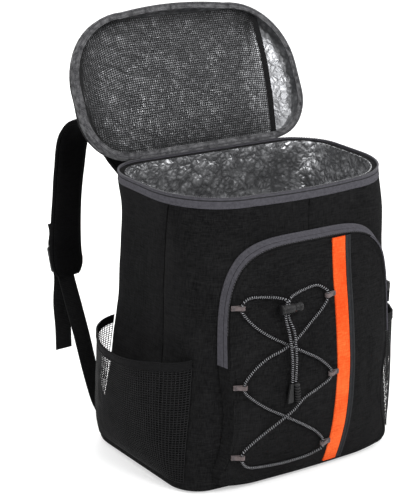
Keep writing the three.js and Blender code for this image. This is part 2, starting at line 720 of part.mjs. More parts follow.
const CORD_SIDES = 8;

// The points of a route: plain rows lie on the face, the others run straight through a loop or the lock.
function routePoints(route) {
  return route.flatMap((row) => {
    if (Array.isArray(row)) return facePoint(...row);
    if (row.loop) {
      const { eye } = loopPlace(LOOPS[row.loop]);
      return [-1, 1].map((end) => eye.clone().add(vector(0, 0, end * row.up * (LOOP_WIDTH / 2 + 1.2))));
    }
    const slot = lockPlace.clone().add(vector(row.lock * CORD_APART, 0, 0));
    const above = route === CORD_ROUTE ? 1 : -1;
    const inside = slot.clone().add(vector(0, 0, above * SEAT));
    const outside = slot.add(vector(0, 0, above * (LOCK_RADIUS + CORD_DIAMETER)));
    return row === route[0] ? [inside, outside] : [outside, inside];
  });
}

// A round cord through points, closed at both ends, with one more ring in the middle of each long span.
function cord(points) {
  const curve = new THREE.CatmullRomCurve3(points, false, "centripetal");
  const spans = points.length - 1;
  const shares = points.flatMap((point, k) => {
    const long = k < spans && point.distanceTo(points[k + 1]) > 4 * CORD_DIAMETER;
    return long ? [k / spans, (k + 0.5) / spans] : [k / spans];
  });
  return skin(shares.map((share) => {
    const place = curve.getPoint(share);
    const along = curve.getTangent(share);
    const across = vector(0, -1, 0).cross(along).normalize();
    const out = along.clone().cross(across);
    return Array.from({ length: CORD_SIDES }, (_, k) => {
      const angle = (2 * Math.PI * k) / CORD_SIDES;
      return place.clone()
        .addScaledVector(across, (Math.cos(angle) * CORD_DIAMETER) / 2)
        .addScaledVector(out, (Math.sin(angle) * CORD_DIAMETER) / 2);
    });
  }));
}

// The soft end that joins both tails.
function cordEnd() {
  const top = facePoint(-41, 133 - 2 * SEAT, 5);
  const ring = (down, width, thickness) => PAD_OUTLINE.map(([a, b]) => vector(
    top.x + (a * width) / 2 + down * 0.25,
    top.y + (b * thickness) / 2,
    top.z - down,
  ));
  return skin([
    ring(0, CORD_END_WIDTH * 0.9, CORD_END_THICKNESS * 0.8),
    ring(2, CORD_END_WIDTH, CORD_END_THICKNESS),
    ring(CORD_END_LENGTH * 0.7, CORD_END_WIDTH * 0.95, CORD_END_THICKNESS),
    ring(CORD_END_LENGTH, CORD_END_WIDTH * 0.6, CORD_END_THICKNESS * 0.6),
  ]);
}

// Side pockets
// rise: share of the pocket's height. bulge: share of SIDE_POCKET_BULGE.
const SIDE_POCKET_ROWS = [
  { rise: 0, bulge: 0 },
  { rise: 0.03, bulge: 0.16 },
  { rise: 0.14, bulge: 0.42 },
  { rise: 0.32, bulge: 0.66 },
  { rise: 0.6, bulge: 0.86 },
  { rise: 1, bulge: 1 },
];
const SIDE_STEPS = 14;
const SIDE_BACK_ANGLE = 40;
const SIDE_FRONT_ANGLE = 34;

// The body's left side at height z, from the back corner to the front corner, grown outwards.
function sidePath(z, share, grow) {
  const { width, depth, frontCorner, backCorner } = sectionAt(z);
  const backTurn = THREE.MathUtils.degToRad(SIDE_BACK_ANGLE);
  const frontTurn = THREE.MathUtils.degToRad(SIDE_FRONT_ANGLE);
  const straight = depth - frontCorner - backCorner;
  const backArc = backCorner * backTurn;
  const frontArc = frontCorner * frontTurn;
  const along = share * (backArc + straight + frontArc);
  if (along < backArc) {
    const angle = backTurn - along / backCorner;
    const reach = backCorner + grow;
    return vector(
      -(width / 2 - backCorner) - reach * Math.cos(angle),
      depth / 2 - backCorner + reach * Math.sin(angle),
      z,
    );
  }
  if (along < backArc + straight) {
    return vector(-width / 2 - grow, depth / 2 - backCorner - (along - backArc), z);
  }
  const angle = (along - backArc - straight) / frontCorner;
  const reach = frontCorner + grow;
  return vector(
    -(width / 2 - frontCorner) - reach * Math.cos(angle),
    -depth / 2 + frontCorner - reach * Math.sin(angle),
    z,
  );
}

// A point of the side pocket: share runs from the back seam to the front seam, rise from hem to top edge.
function sidePocketPoint(share, rise, lift) {
  const top = SIDE_POCKET_TOP - SIDE_POCKET_DIP * Math.sin(Math.PI * share);
  const z = mix(SIDE_POCKET_BOTTOM, top, rise);
  const belly = (1 - Math.abs(2 * share - 1) ** 2.4) * SIDE_POCKET_BULGE;
  const low = SIDE_POCKET_ROWS.findLast((row) => row.rise <= rise);
  const high = SIDE_POCKET_ROWS.find((row) => row.rise > rise) ?? low;
  const part = high === low ? 0 : (rise - low.rise) / (high.rise - low.rise);
  return sidePath(z, share, 2 * SEAT + lift + belly * mix(low.bulge, high.bulge, part));
}

function sidePocketSheet(rises, thickness, mirrored) {
  const grid = (lift) => Array.from({ length: SIDE_STEPS + 1 }, (_, k) => rises.map((rise) => {
    const point = sidePocketPoint(k / SIDE_STEPS, rise, lift);
    return mirrored ? point.setX(-point.x) : point;
  }));
  return sheet(grid(thickness), grid(0));
}

function buildSidePocket(name, mirrored, parent) {
  const height = SIDE_POCKET_TOP - SIDE_POCKET_BOTTOM;
  const bindingFoot = 1 - SIDE_BINDING_HEIGHT / height;
  const netTop = bindingFoot - SEAT / height;
  const rises = [...SIDE_POCKET_ROWS.map((row) => row.rise).filter((rise) => rise < netTop - 0.05), netTop];
  named(`${name}_mesh_pocket`, sidePocketSheet(rises, SIDE_POCKET_THICKNESS, mirrored), MESH, parent);
  const binding = sidePocketSheet([bindingFoot, 1], SIDE_BINDING_THICKNESS, mirrored);
  named(`${name}_pocket_binding`, binding, MESH, parent);
}

// Front pocket's zip slider and its pull, at the end of the tape's right leg.
function buildZipPull(parent) {
  const rim = pocketRing(OUTLINE)[1];
  const face = pocketRing(FACE_SEAM)[1];
  const lift = SEAT + FRONT_TAPE_THICKNESS + SLIDER_THICKNESS / 2;
  const y = (bodyFront(rim.x, rim.z) + pocketFront(face.x, face.z)) / 2;
  const slider = new THREE.BoxGeometry(SLIDER_THICKNESS, SLIDER_WIDTH, SLIDER_LENGTH);
  const place = vector(Math.max(rim.x, face.x) + lift, y, rim.z);
  named("front_zip_slider", slider.translate(...place.toArray()), BLACK_PLASTIC, parent);
  const pull = new THREE.BoxGeometry(PULL_THICKNESS, PULL_WIDTH, PULL_LENGTH);
  const out = SLIDER_THICKNESS / 2 + SEAT + PULL_THICKNESS / 2;
  pull.translate(place.x + out, place.y, place.z + SLIDER_LENGTH / 4 - PULL_LENGTH / 2);
  named("front_zip_pull", pull, FABRIC, parent);
}

// Back panel: a flat pad on the body's back, leaning with it.
const BACK_LEAN = Math.atan((BASE_DEPTH - RIM_DEPTH) / 2 / BODY_HEIGHT);
const BACK_SEAT = 2 * SEAT;
const backAt = (z) => sectionAt(z).depth / 2 + BACK_SEAT;

// A plate with round corners and chamfered edges, standing on y = 0 and centred on x = 0.
function roundedPlate(width, height, corner, thickness) {
  const outline = new THREE.Shape();
  const reach = width / 2 - corner;
  outline.absarc(reach, corner, corner, -Math.PI / 2, 0, false);
  outline.absarc(reach, height - corner, corner, 0, Math.PI / 2, false);
  outline.absarc(-reach, height - corner, corner, Math.PI / 2, Math.PI, false);
  outline.absarc(-reach, corner, corner, Math.PI, 1.5 * Math.PI, false);
  const bevel = thickness * 0.3;
  return new THREE.ExtrudeGeometry(outline, {
    depth: thickness - 2 * bevel,
    bevelThickness: bevel,
    bevelSize: bevel,
    bevelOffset: -bevel,
    bevelSegments: 1,
    curveSegments: 4,
  }).translate(0, 0, bevel);
}

function buildBackPanel(parent) {
  const height = BACK_PANEL_TOP - BACK_PANEL_BOTTOM;
  const plate = roundedPlate(BACK_PANEL_WIDTH, height, BACK_PANEL_CORNER, BACK_PANEL_THICKNESS);
  const mesh = named("back_panel", plate.rotateX(Math.PI / 2).rotateZ(Math.PI), FABRIC, parent);
  mesh.rotation.x = BACK_LEAN;
  mesh.position.set(0, backAt(BACK_PANEL_BOTTOM), BACK_PANEL_BOTTOM);
}

// Bands
// A band along points: a closed section of the given outline, with its width turned about +Z by turn.
function band(route, steps, halfSize, outline, side) {
  const curve = new THREE.CatmullRomCurve3(route.map(({ at }) => at), false, "centripetal");
  const rings = [];
  for (let k = 0; k <= steps; k += 1) {
    const share = k / steps;
    const place = curve.getPoint(share);
    const along = curve.getTangent(share);
    const row = Math.min(Math.floor(share * (route.length - 1)), route.length - 2);
    const turn = mix(route[row].turn, route[row + 1].turn, share * (route.length - 1) - row);
    const angle = THREE.MathUtils.degToRad(turn);
    const across = vector(Math.cos(angle), Math.sin(angle), 0);
    across.addScaledVector(along, -across.dot(along)).normalize();
    const out = vector(0, 0, 0).crossVectors(across, along);
    const [width, thickness] = halfSize(share);
    rings.push(outline.map(([a, b]) => {
      const point = place.clone().addScaledVector(across, a * width).addScaledVector(out, b * thickness);
      return point.setX(side * point.x);
    }));
  }
  return skin(rings);
}

// Shoulder straps
// The pad's route, drawn for the left strap: off the middle, behind the pad's foot and above it.
// turn is the angle in degrees of the band's width from +X, seen from above.
const STRAP_FOOT_X = -76;
const STRAP_FOOT_Z = BODY_HEIGHT - 38;
const strapFoot = backAt(STRAP_FOOT_Z) + BACK_PANEL_THICKNESS + 2 * SEAT;
const strapPoint = (off, behind, above) => vector(off, strapFoot + behind, STRAP_FOOT_Z + above);
const STRAP_ROUTE = [
  { at: strapPoint(STRAP_FOOT_X, 0, 0), turn: 0 },
  { at: strapPoint(STRAP_FOOT_X, 9, 1), turn: 0 },
  { at: strapPoint(-86, 41, 23), turn: 3 },
  { at: strapPoint(-98, 76, 54), turn: 6 },
  { at: strapPoint(-110, 100, 61), turn: 8 },
  { at: strapPoint(-120, 111, 43), turn: 9 },
  { at: strapPoint(-130, 107, 0), turn: 10 },
  { at: strapPoint(-138, 99, -40), turn: 11 },
  { at: strapPoint(-144, 91, -74), turn: 12 },
  { at: strapPoint(-148, 83.5, -98), turn: 12 },
  { at: strapPoint(-149, 78, -114), turn: 10 },
  { at: strapPoint(-149, 75, -126), turn: 8 },
];
const STRAP_STEPS = 2 * (STRAP_ROUTE.length - 1);

function strapPad(side) {
  const halfSize = (share) => {
    const end = Math.min(share / 0.05, 0.35 + (1 - share) / 0.1, 1);
    const narrow = mix(STRAP_TOP_WIDTH, STRAP_NECK_WIDTH, Math.min(share / 0.7, 1));
    const width = share < 0.7 ? narrow : mix(STRAP_NECK_WIDTH, STRAP_END_WIDTH, (share - 0.7) / 0.3);
    return [(width / 2) * mix(0.75, 1, end), (STRAP_THICKNESS / 2) * mix(0.4, 1, end)];
  };
  return band(STRAP_ROUTE, STRAP_STEPS, halfSize, PAD_OUTLINE, side);
}

// Ladder lock: a frame with three bars. up runs along it towards the pad, wide along its bars.
const LADDER_TURN = 9;
const LADDER_OFF = 13;
const ladderAngle = THREE.MathUtils.degToRad(LADDER_TURN);
const ladderWide = vector(Math.cos(ladderAngle), Math.sin(ladderAngle), 0);
const [padNeck, padLow, padEnd] = STRAP_ROUTE.slice(-4, -1).map(({ at }) => at);
const ladderUp = padNeck.clone().sub(padEnd);
ladderUp.addScaledVector(ladderWide, -ladderUp.dot(ladderWide)).normalize();
const ladderOut = ladderUp.clone().cross(ladderWide).normalize();
const ladderPlace = padLow.clone().addScaledVector(ladderOut, LADDER_OFF).addScaledVector(ladderUp, -6);
const onLadder = (up, out) => ladderPlace.clone().addScaledVector(ladderUp, up).addScaledVector(ladderOut, out);

function ladderLock(side) {
  const outline = new THREE.Shape();
  const corner = LADDER_BAR * 0.8;
  const [wide, high] = [LADDER_WIDTH / 2, LADDER_HEIGHT / 2];
  outline.absarc(wide - corner, -high + corner, corner, -Math.PI / 2, 0, false);
  outline.absarc(wide - corner, high - corner, corner, 0, Math.PI / 2, false);
  outline.absarc(-wide + corner, high - corner, corner, Math.PI / 2, Math.PI, false);
  outline.absarc(-wide + corner, -high + corner, corner, Math.PI, 1.5 * Math.PI, false);
  const half = LADDER_BAR / 2;
  const reach = WEBBING_WIDTH / 2 + 1.2;
  for (const [low, top, wider] of [[half, high - LADDER_BAR, 0], [-high + LADDER_BAR, -half, 0.4]]) {
    const slot = new THREE.Path();
    const across = reach + wider;
    slot.moveTo(-across, low).lineTo(-across, top).lineTo(across, top).lineTo(across, low);
    outline.holes.push(slot);
  }
  const settings = { depth: LADDER_THICKNESS, bevelEnabled: false, curveSegments: 3 };
  const geometry = new THREE.ExtrudeGeometry(outline, settings).translate(0, 0, -LADDER_THICKNESS / 2);
  const frame = new THREE.Matrix4().makeBasis(ladderWide, ladderUp, ladderOut.clone().negate());
  geometry.applyMatrix4(frame.setPosition(ladderPlace));
  return side < 0 ? mirrored(geometry) : geometry;
}

// The same geometry on the other side of x = 0.
function mirrored(geometry) {
  const merged = mergeVertices(geometry.clone().deleteAttribute("normal").deleteAttribute("uv"));
  const place = merged.getAttribute("position");
  const points = Array.from({ length: place.count }, (_, k) => vector(-place.getX(k), place.getY(k), place.getZ(k)));
  const index = Array.from(merged.index.array);
  const triangles = Array.from({ length: index.length / 3 }, (_, k) => index.slice(3 * k, 3 * k + 3));
  return solid(points, triangles);
}

// Webbing: from the body's back corner up behind the lock's bars, over the middle bar and down as the tail.
const WEBBING_ANGLE = 68;
const WEBBING_FOOT = 10;

function backCorner(angle, z, grow) {
  const { width, depth, backCorner: radius } = sectionAt(z);
  const turn = THREE.MathUtils.degToRad(angle);
  return vector(
    -(width / 2 - radius) - (radius + grow) * Math.cos(turn),
    depth / 2 - radius + (radius + grow) * Math.sin(turn),
    z,
  );
}

function webbing(side) {
  const clear = LADDER_THICKNESS / 2 + WEBBING_THICKNESS / 2 + 2 * SEAT;
  const seat = WEBBING_THICKNESS / 2 + 2 * SEAT;
  const bar = LADDER_BAR / 2 + WEBBING_THICKNESS / 2 + 2 * SEAT;
  const foot = 90 - WEBBING_ANGLE;
  const lowBar = -LADDER_HEIGHT / 2;
  const sewn = backCorner(WEBBING_ANGLE, WEBBING_FOOT + 9, seat);
  const below = onLadder(lowBar - 9, -clear - 1);
  const free = (share, slack) => sewn.clone().lerp(below, share).add(vector(0, slack, 0));
  const route = [
    { at: backCorner(WEBBING_ANGLE, WEBBING_FOOT, seat), turn: foot },
    { at: sewn, turn: foot },
    { at: free(0.12, 8), turn: 18 },
    { at: free(0.35, 7), turn: 12 },
    { at: free(0.58, 3), turn: 9 },
    { at: free(0.79, 1.5), turn: 8 },
    { at: below, turn: LADDER_TURN },
    { at: onLadder(lowBar, -clear), turn: LADDER_TURN },
    { at: onLadder(1, -clear), turn: LADDER_TURN },
    { at: onLadder(bar - 0.3, -clear + 0.5), turn: LADDER_TURN },
    { at: onLadder(bar, 0), turn: LADDER_TURN },
    { at: onLadder(bar - 0.3, clear - 0.5), turn: LADDER_TURN },
    { at: onLadder(1, clear), turn: LADDER_TURN },
    { at: onLadder(lowBar, clear), turn: LADDER_TURN },
    { at: onLadder(lowBar - 9, clear + 1), turn: LADDER_TURN },
    { at: strapPoint(-152.5, 87, -164), turn: 8 },
    { at: strapPoint(-153, 81, -195), turn: 8 },
    { at: strapPoint(-153.5, 78, -224), turn: 8 },
  ];
  const halfSize = () => [WEBBING_WIDTH / 2, WEBBING_THICKNESS / 2];
  return band(route, 2 * (route.length - 1), halfSize, FLAT_OUTLINE, side);
}

// The short loop of webbing that holds the lock's top bar to the pad's outer face.
function lockLoop(side) {
  const clear = LADDER_THICKNESS / 2 + WEBBING_THICKNESS / 2 + 2 * SEAT;
  const edge = LADDER_HEIGHT / 2;
  const under = edge - LADDER_BAR - WEBBING_THICKNESS / 2 - 2 * SEAT;
  const onPad = STRAP_THICKNESS / 2 + WEBBING_THICKNESS / 2 + 1.2 - LADDER_OFF;
  const apart = WEBBING_THICKNESS + 2 * SEAT;
  const rows = [
    [edge + 28, onPad],
    [edge + 18, onPad],
    [edge + 2, -clear],
    [edge - 3, -clear],
    [under + 0.3, -clear + 0.5],
    [under, 0],
    [under + 0.3, clear - 0.5],
    [edge - 3, clear],
    [edge + 2, clear],
    [edge + 18, onPad + apart],
    [edge + 28, onPad + apart],
  ];
  const route = rows.map(([up, out]) => ({ at: onLadder(up, out), turn: LADDER_TURN }));
  const halfSize = () => [WEBBING_WIDTH / 2, WEBBING_THICKNESS / 2];
  return band(route, 2 * (route.length - 1), halfSize, FLAT_OUTLINE, side);
}

function buildStrap(name, side, parent) {
  named(`${name}_strap_pad`, strapPad(side), MESH, parent);
  named(`${name}_ladder_lock`, ladderLock(side), BLACK_PLASTIC, parent);
  named(`${name}_lock_loop`, lockLoop(side), MESH, parent);
  named(`${name}_strap_webbing`, webbing(side), MESH, parent);
}

// The whole backpack
const root = new THREE.Group();
named("body_shell", bodyShell(), FABRIC, root);
named("cabin_foil_liner", cabinLiner(), FOIL, root);
named("rim_zip_tape", rimTape(), GREY_TAPE, root);
buildLid(root);
named("lid_cloth_hinge", hinge(), GREY_TAPE, root);
named("front_pocket", frontPocket(), FABRIC, root);
named("front_pocket_zip_tape", frontTape(), GREY_TAPE, root);
buildZipPull(root);
const bandTop = POCKET_HEIGHT - GUSSET_TOP_INSET - 1;
const bandFoot = POCKET_HEM + 4;
const stripe = faceBand(STRIPE_LEFT, STRIPE_WIDTH, STRIPE_THICKNESS, bandFoot, bandTop, 24);
named("stripe", stripe, ORANGE, root);
const piping = faceBand(PIPING_LEFT, PIPING_WIDTH, PIPING_THICKNESS, bandFoot, bandTop, 24);
named("pocket_piping", piping, FABRIC, root);
buildLoops(root);
named("lacing_cord", cord(routePoints(CORD_ROUTE)), CORD_BLACK, root);
for (const [name, route] of Object.entries(TAIL_ROUTES)) {
  named(name, cord(routePoints(route)), CORD_BLACK, root);
}
named("cord_lock", cordLock(), BLACK_PLASTIC, root);
named("cord_lock_button", lockButton(), BLACK_PLASTIC, root);
named("cord_end", cordEnd(), BLACK_PLASTIC, root);
for (const [name, side] of [["left", 1], ["right", -1]]) {
  buildSidePocket(name, side < 0, root);
  buildStrap(name, side, root);
}
buildBackPanel(root);

export default root;
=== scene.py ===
# The cooler backpack dressed: woven walls, crinkled foil, zips, nets, laced cord, straps and webbing,
# set round its plain solids. Sizes are in millimetres, in the same frame as the solids: +Z up, -Y the
# front. They become metres when a mesh is made.
import math

import bmesh
import bpy
from mathutils import Matrix, Vector, noise


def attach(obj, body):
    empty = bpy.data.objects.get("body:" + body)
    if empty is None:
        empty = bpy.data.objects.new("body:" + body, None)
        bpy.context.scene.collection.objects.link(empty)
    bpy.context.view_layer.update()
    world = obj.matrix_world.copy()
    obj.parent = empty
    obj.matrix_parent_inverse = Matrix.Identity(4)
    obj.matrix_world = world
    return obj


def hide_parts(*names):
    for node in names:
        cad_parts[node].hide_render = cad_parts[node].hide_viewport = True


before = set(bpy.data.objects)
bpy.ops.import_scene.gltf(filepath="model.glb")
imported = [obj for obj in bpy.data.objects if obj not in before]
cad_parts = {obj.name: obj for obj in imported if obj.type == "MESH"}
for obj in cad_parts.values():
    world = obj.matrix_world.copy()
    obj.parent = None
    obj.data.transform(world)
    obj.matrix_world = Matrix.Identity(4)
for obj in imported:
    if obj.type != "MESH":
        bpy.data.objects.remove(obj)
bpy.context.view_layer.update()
MM = 0.001
BODY = "root"

# Body
BODY_HEIGHT = 350
BASE_WIDTH = 324
BASE_DEPTH = 216
BASE_FRONT_CORNER = 41
BASE_BACK_CORNER = 38
BASE_EDGE = 9
RIM_WIDTH = 317
RIM_DEPTH = 191
RIM_FRONT_CORNER = 88
RIM_BACK_CORNER = 55
FRONT_BOW = 5.6
WAIST = 25
WALL = 8
LINER = 1.2
SEAT = 0.35
RING_POINTS = 280
RIM_TAPE_POINTS = 240
LID_TAPE_POINTS = 420
CORNER_STEPS = 14
LINER_ROWS = 44
WALL_STEP = 7

# Zip tapes
TAPE_HEIGHT = 12.5
TAPE_THICKNESS = 1.6
TAPE_RISE = 2
RIM_COIL_HIGH = 4.2
RIM_COIL_LOW = 2.8
TOOTH_SPACING = 2.1
TOOTH_LENGTH = 2.4
TOOTH_RADIUS = 0.55

# Lid
LID_WIDTH = 332
LID_DEPTH = 181
LID_FAR_CORNER = 89
LID_HINGE_CORNER = 59
LID_HEIGHT = 25
LID_TAPE_HEIGHT = 8.5
LID_CROWN = 5
LID_SIDE_WALL = 4
LID_TOP_WALL = 7
LID_OPEN = 117
LID_LIP = 8
HINGE_WIDTH = 210
HINGE_THICKNESS = 1.8
HINGE_LEG = 11
LID_MESH_THICKNESS = 1.2
LID_MESH_BULGE = 7
LID_MESH_RIGHT = 112
LID_BINDING_WIDTH = 8
LID_MESH_LEAN = 13

# Front pocket
POCKET_HEIGHT = 298
POCKET_HALF_WIDTH = 121
POCKET_CENTRE = 2.5
POCKET_ARCH_HEIGHT = 141
POCKET_ARCH_POWER = 4
POCKET_DEPTH = 16
POCKET_DOME = 12
POCKET_WALL = 2.5
POCKET_HEM = 5
GUSSET_SIDE_INSET = 3.5
GUSSET_TOP_INSET = 7.5
FRONT_TAPE_THICKNESS = 1.5
STRIPE_LEFT = 27
STRIPE_WIDTH = 20
STRIPE_THICKNESS = 1.2
PIPING_LEFT = 52
PIPING_WIDTH = 3
PIPING_THICKNESS = 2
BAND_SEAT = 0.5

# Loops, elastic cord, its lock and its end
CORD_DIAMETER = 3
CORD_CLEARANCE = 0.45
FLECK_PITCH = 2.7
LOOP_LENGTH = 16
LOOP_SEAT = 0.95
LOOP_WIDTH = 7
LOOP_WALL = 1.4
LOCK_RADIUS = 7.5
LOCK_LENGTH = 20
LOCK_SLIM = 0.8
LOCK_X = -48
LOCK_Z = 222
BUTTON_RADIUS = 6
BUTTON_FLANGE = 7.2
CORD_END_WIDTH = 11
CORD_END_LENGTH = 24
CORD_END_THICKNESS = 7
CORD_END_RIBS = 7
CORD_END_RIB = 0.36

# Side pockets
SIDE_POCKET_TOP = 162
SIDE_POCKET_DIP = 9
SIDE_POCKET_BOTTOM = 13
SIDE_POCKET_BULGE = 46
SIDE_BINDING_HEIGHT = 11
SIDE_BINDING_THICKNESS = 2.6
SIDE_BACK_ANGLE = 40
SIDE_FRONT_ANGLE = 34
NET_PITCH = 2.9
NET_STRAND = 0.5

# Back panel, shoulder straps and their webbing
BACK_PANEL_WIDTH = 214
BACK_PANEL_BOTTOM = 30
BACK_PANEL_TOP = 322
BACK_PANEL_THICKNESS = 6
BACK_PANEL_CORNER = 30
STRAP_TOP_WIDTH = 56
STRAP_NECK_WIDTH = 46
STRAP_END_WIDTH = 53
STRAP_THICKNESS = 11
STRAP_FOOT_X = -76
STRAP_FOOT_Z = 312
WEBBING_WIDTH = 25
WEBBING_THICKNESS = 1.6
WEBBING_ANGLE = 68
WEBBING_FOOT = 10
LADDER_HEIGHT = 33
LADDER_THICKNESS = 4
LADDER_BAR = 4.5
LADDER_TURN = 9
LADDER_OFF = 13

# Stitches
STITCH_SPACING = 3.4
STITCH_LENGTH = 2.3
STITCH_RADIUS = 0.24


# Numbers and points
def mix(a, b, share):
    return a + (b - a) * share


def clamp(value, low=0.0, high=1.0):
    return max(low, min(high, value))


def table_at(rows, key, value, column):
    """The column's value between the rows on either side of value, held at the ends."""
    value = clamp(value, rows[0][key], rows[-1][key])
    for low, high in zip(rows, rows[1:]):
        if value <= high[key]:
            return mix(low[column], high[column], (value - low[key]) / (high[key] - low[key]))
    return rows[-1][column]


def eased(rows, key, value, column, reach):
    """table_at with its corners rounded over reach."""
    near = table_at(rows, key, value, column)
    sides = table_at(rows, key, value - reach, column) + table_at(rows, key, value + reach, column)
    return 0.5 * near + 0.25 * sides


def smooth_path(points, spacing):
    """Points every spacing or so on a centripetal Catmull-Rom curve through points."""
    padded = [2 * points[0] - points[1], *points, 2 * points[-1] - points[-2]]
    path = []
    for p0, p1, p2, p3 in zip(padded, padded[1:], padded[2:], padded[3:]):
        t1 = max((p1 - p0).length, 1e-4) ** 0.5
        t2 = t1 + max((p2 - p1).length, 1e-4) ** 0.5
        t3 = t2 + max((p3 - p2).length, 1e-4) ** 0.5
        count = max(1, round((p2 - p1).length / spacing))
        for k in range(count):
            t = mix(t1, t2, k / count)
            a1 = p0 * ((t1 - t) / t1) + p1 * (t / t1)
            a2 = p1 * ((t2 - t) / (t2 - t1)) + p2 * ((t - t1) / (t2 - t1))
            a3 = p2 * ((t3 - t) / (t3 - t2)) + p3 * ((t - t2) / (t3 - t2))
            b1 = a1 * ((t2 - t) / t2) + a2 * (t / t2)
            b2 = a2 * ((t3 - t) / (t3 - t1)) + a3 * ((t - t1) / (t3 - t1))
            path.append(b1 * ((t2 - t) / (t2 - t1)) + b2 * ((t - t1) / (t2 - t1)))
    return path + [points[-1]]


def run_lengths(points):
    """How far each point of a line lies along it."""
    lengths = [0.0]
    for a, b in zip(points, points[1:]):
        lengths.append(lengths[-1] + (b - a).length)
    return lengths


def back_to_start(ring):
    """A ring of points with its first point again at its end."""
    return ring + ring[:1]


def run_at(line, k):
    """The direction of a line of points at its point k."""
    return (line[min(k + 1, len(line) - 1)] - line[max(k - 1, 0)]).normalized()


def circle(steps):
    """The cosine and sine of even angles round a circle."""
    angles = [2 * math.pi * k / steps for k in range(steps)]
    return [(math.cos(angle), math.sin(angle)) for angle in angles]


def turned_over(half):
    """One half of a section, and the same half turned half way round."""
    return half + [(-a, -b) for a, b in half]


def grid_of(columns, rows, place):
    """A grid of points, grid[column][row], from place(column, row)."""
    return [[place(column, row) for row in range(rows + 1)] for column in range(columns + 1)]


def spaced(points, count, closed=False):
    """count points spread evenly along a line of points, or round a closed one."""
    line = back_to_start(points) if closed else points
    lengths = run_lengths(line)
    gaps = count if closed else count - 1
    found = []
    at = 0
    for k in range(count):
        want = lengths[-1] * k / gaps
        while at < len(line) - 2 and lengths[at + 1] < want:
            at += 1
        step = max(lengths[at + 1] - lengths[at], 1e-9)
        found.append(line[at].lerp(line[at + 1], clamp((want - lengths[at]) / step)))
    return found


# Meshes
def added(name, data):
    """A new object in the scene that holds data."""
    holder = bpy.data.objects.new(name, data)
    bpy.context.scene.collection.objects.link(holder)
    return holder


def made(name, points, faces, finish, corners=None, sharp=40):
    """A smooth-shaded piece from points in millimetres; corners are the UV pairs of each face, in metres."""
    mesh = bpy.data.meshes.new(name)
    mesh.from_pydata([p * MM for p in points], [], faces)
    if corners:
        layer = mesh.uv_layers.new(name="UVMap")
        flat = [pair for face in corners for pair in face]
        for loop, pair in zip(layer.data, flat):
            loop.uv = pair
    build = bmesh.new()
    build.from_mesh(mesh)
    bmesh.ops.recalc_face_normals(build, faces=build.faces)
    build.to_mesh(mesh)
    build.free()
    mesh.shade_smooth()
    mesh.set_sharp_from_angle(angle=math.radians(sharp))
    mesh.materials.append(finish)
    return added(name, mesh)


def loft(name, rings, finish, looped=False, sharp=40):
    """Rings of equal count joined one after another; the ends are capped, or joined to each other."""
    count = len(rings[0])
    points = [p for ring in rings for p in ring]
    around = [u * MM for u in run_lengths(back_to_start(rings[len(rings) // 2]))]
    middles = [ring[0] for ring in rings] + [rings[0][0]]
    along = [v * MM for v in run_lengths(middles)]
    faces, corners = [], []
    for i in range(len(rings) if looped else len(rings) - 1):
        j = (i + 1) % len(rings)
        for k in range(count):
            m = (k + 1) % count
            faces.append((i * count + k, i * count + m, j * count + m, j * count + k))
            corners.append([
                (around[k], along[i]), (around[k + 1], along[i]),
                (around[k + 1], along[i + 1]), (around[k], along[i + 1]),
            ])
    if not looped:
        for row in (0, len(rings) - 1):
            middle = sum(rings[row], Vector()) / count
            points.append(middle)
            for k in range(count):
                faces.append((row * count + k, row * count + (k + 1) % count, len(points) - 1))
                corners.append([(around[k], 0), (around[k + 1], 0), (around[k], 0.001)])
    return made(name, points, faces, finish, corners, sharp)


def sheet(name, outer, inner, finish, sharp=40):
    """A piece with thickness from two grids of points, outer[column][row] and inner[column][row]."""
    columns, rows = len(outer), len(outer[0])
    points = [p for column in outer for p in column] + [p for column in inner for p in column]
    across = [u * MM for u in run_lengths([column[rows // 2] for column in outer])]
    along = [v * MM for v in run_lengths(outer[columns // 2])]
    faces, corners = [], []

    def quad(*places):
        faces.append([side * columns * rows + column * rows + row for side, column, row in places])
        corners.append([(across[column], along[row]) for _, column, row in places])

    for column in range(columns - 1):
        for row in range(rows - 1):
            for side in (0, 1):
                quad(
                    (side, column, row), (side, column + 1, row),
                    (side, column + 1, row + 1), (side, column, row + 1),
                )
        for row in (0, rows - 1):
            quad((0, column, row), (1, column, row), (1, column + 1, row), (0, column + 1, row))
    for row in range(rows - 1):
        for column in (0, columns - 1):
            quad((0, column, row), (0, column, row + 1), (1, column, row + 1), (1, column, row))
    return made(name, points, faces, finish, corners, sharp)


def two_tone(piece, finish, is_other):
    """Gives the second finish to the faces whose middle on the UV map is in the other part."""
    piece.data.materials.append(finish)
    layer = piece.data.uv_layers[0].data
    for face in piece.data.polygons:
        spots = [layer[k].uv for k in face.loop_indices]
        if is_other(sum(spot[0] for spot in spots) / len(spots), sum(spot[1] for spot in spots) / len(spots)):
            face.material_index = 1


def set_in_place(piece, slot, *nodes):
    """Lets a piece ride on the body and stand for solids, which it hides; slot is not used."""
    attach(piece, BODY)
    if nodes:
        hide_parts(*nodes)
    return piece


# Shaders
class Term:
    """A shader socket that takes part in arithmetic."""

    def __init__(self, look, socket):
        self.look = look
        self.socket = socket

    def math(self, kind, *values):
        inputs = dict(enumerate(values))
        return self.look.node("ShaderNodeMath", {"operation": kind}, inputs)

    def __add__(self, other):
        return self.math("ADD", self, other)

    def __sub__(self, other):
        return self.math("SUBTRACT", self, other)

    def __mul__(self, other):
        return self.math("MULTIPLY", self, other)

    def __rsub__(self, other):
        return self.math("SUBTRACT", other, self)

    __radd__ = __add__
    __rmul__ = __mul__

    def sine(self):
        return self.math("SINE", self)

    def above(self, edge, soft):
        """0 below edge and 1 above it, over soft on either side."""
        ends = {"Value": self, "From Min": edge - soft, "From Max": edge + soft}
        return self.look.node("ShaderNodeMapRange", {"interpolation_type": "SMOOTHSTEP"}, ends)


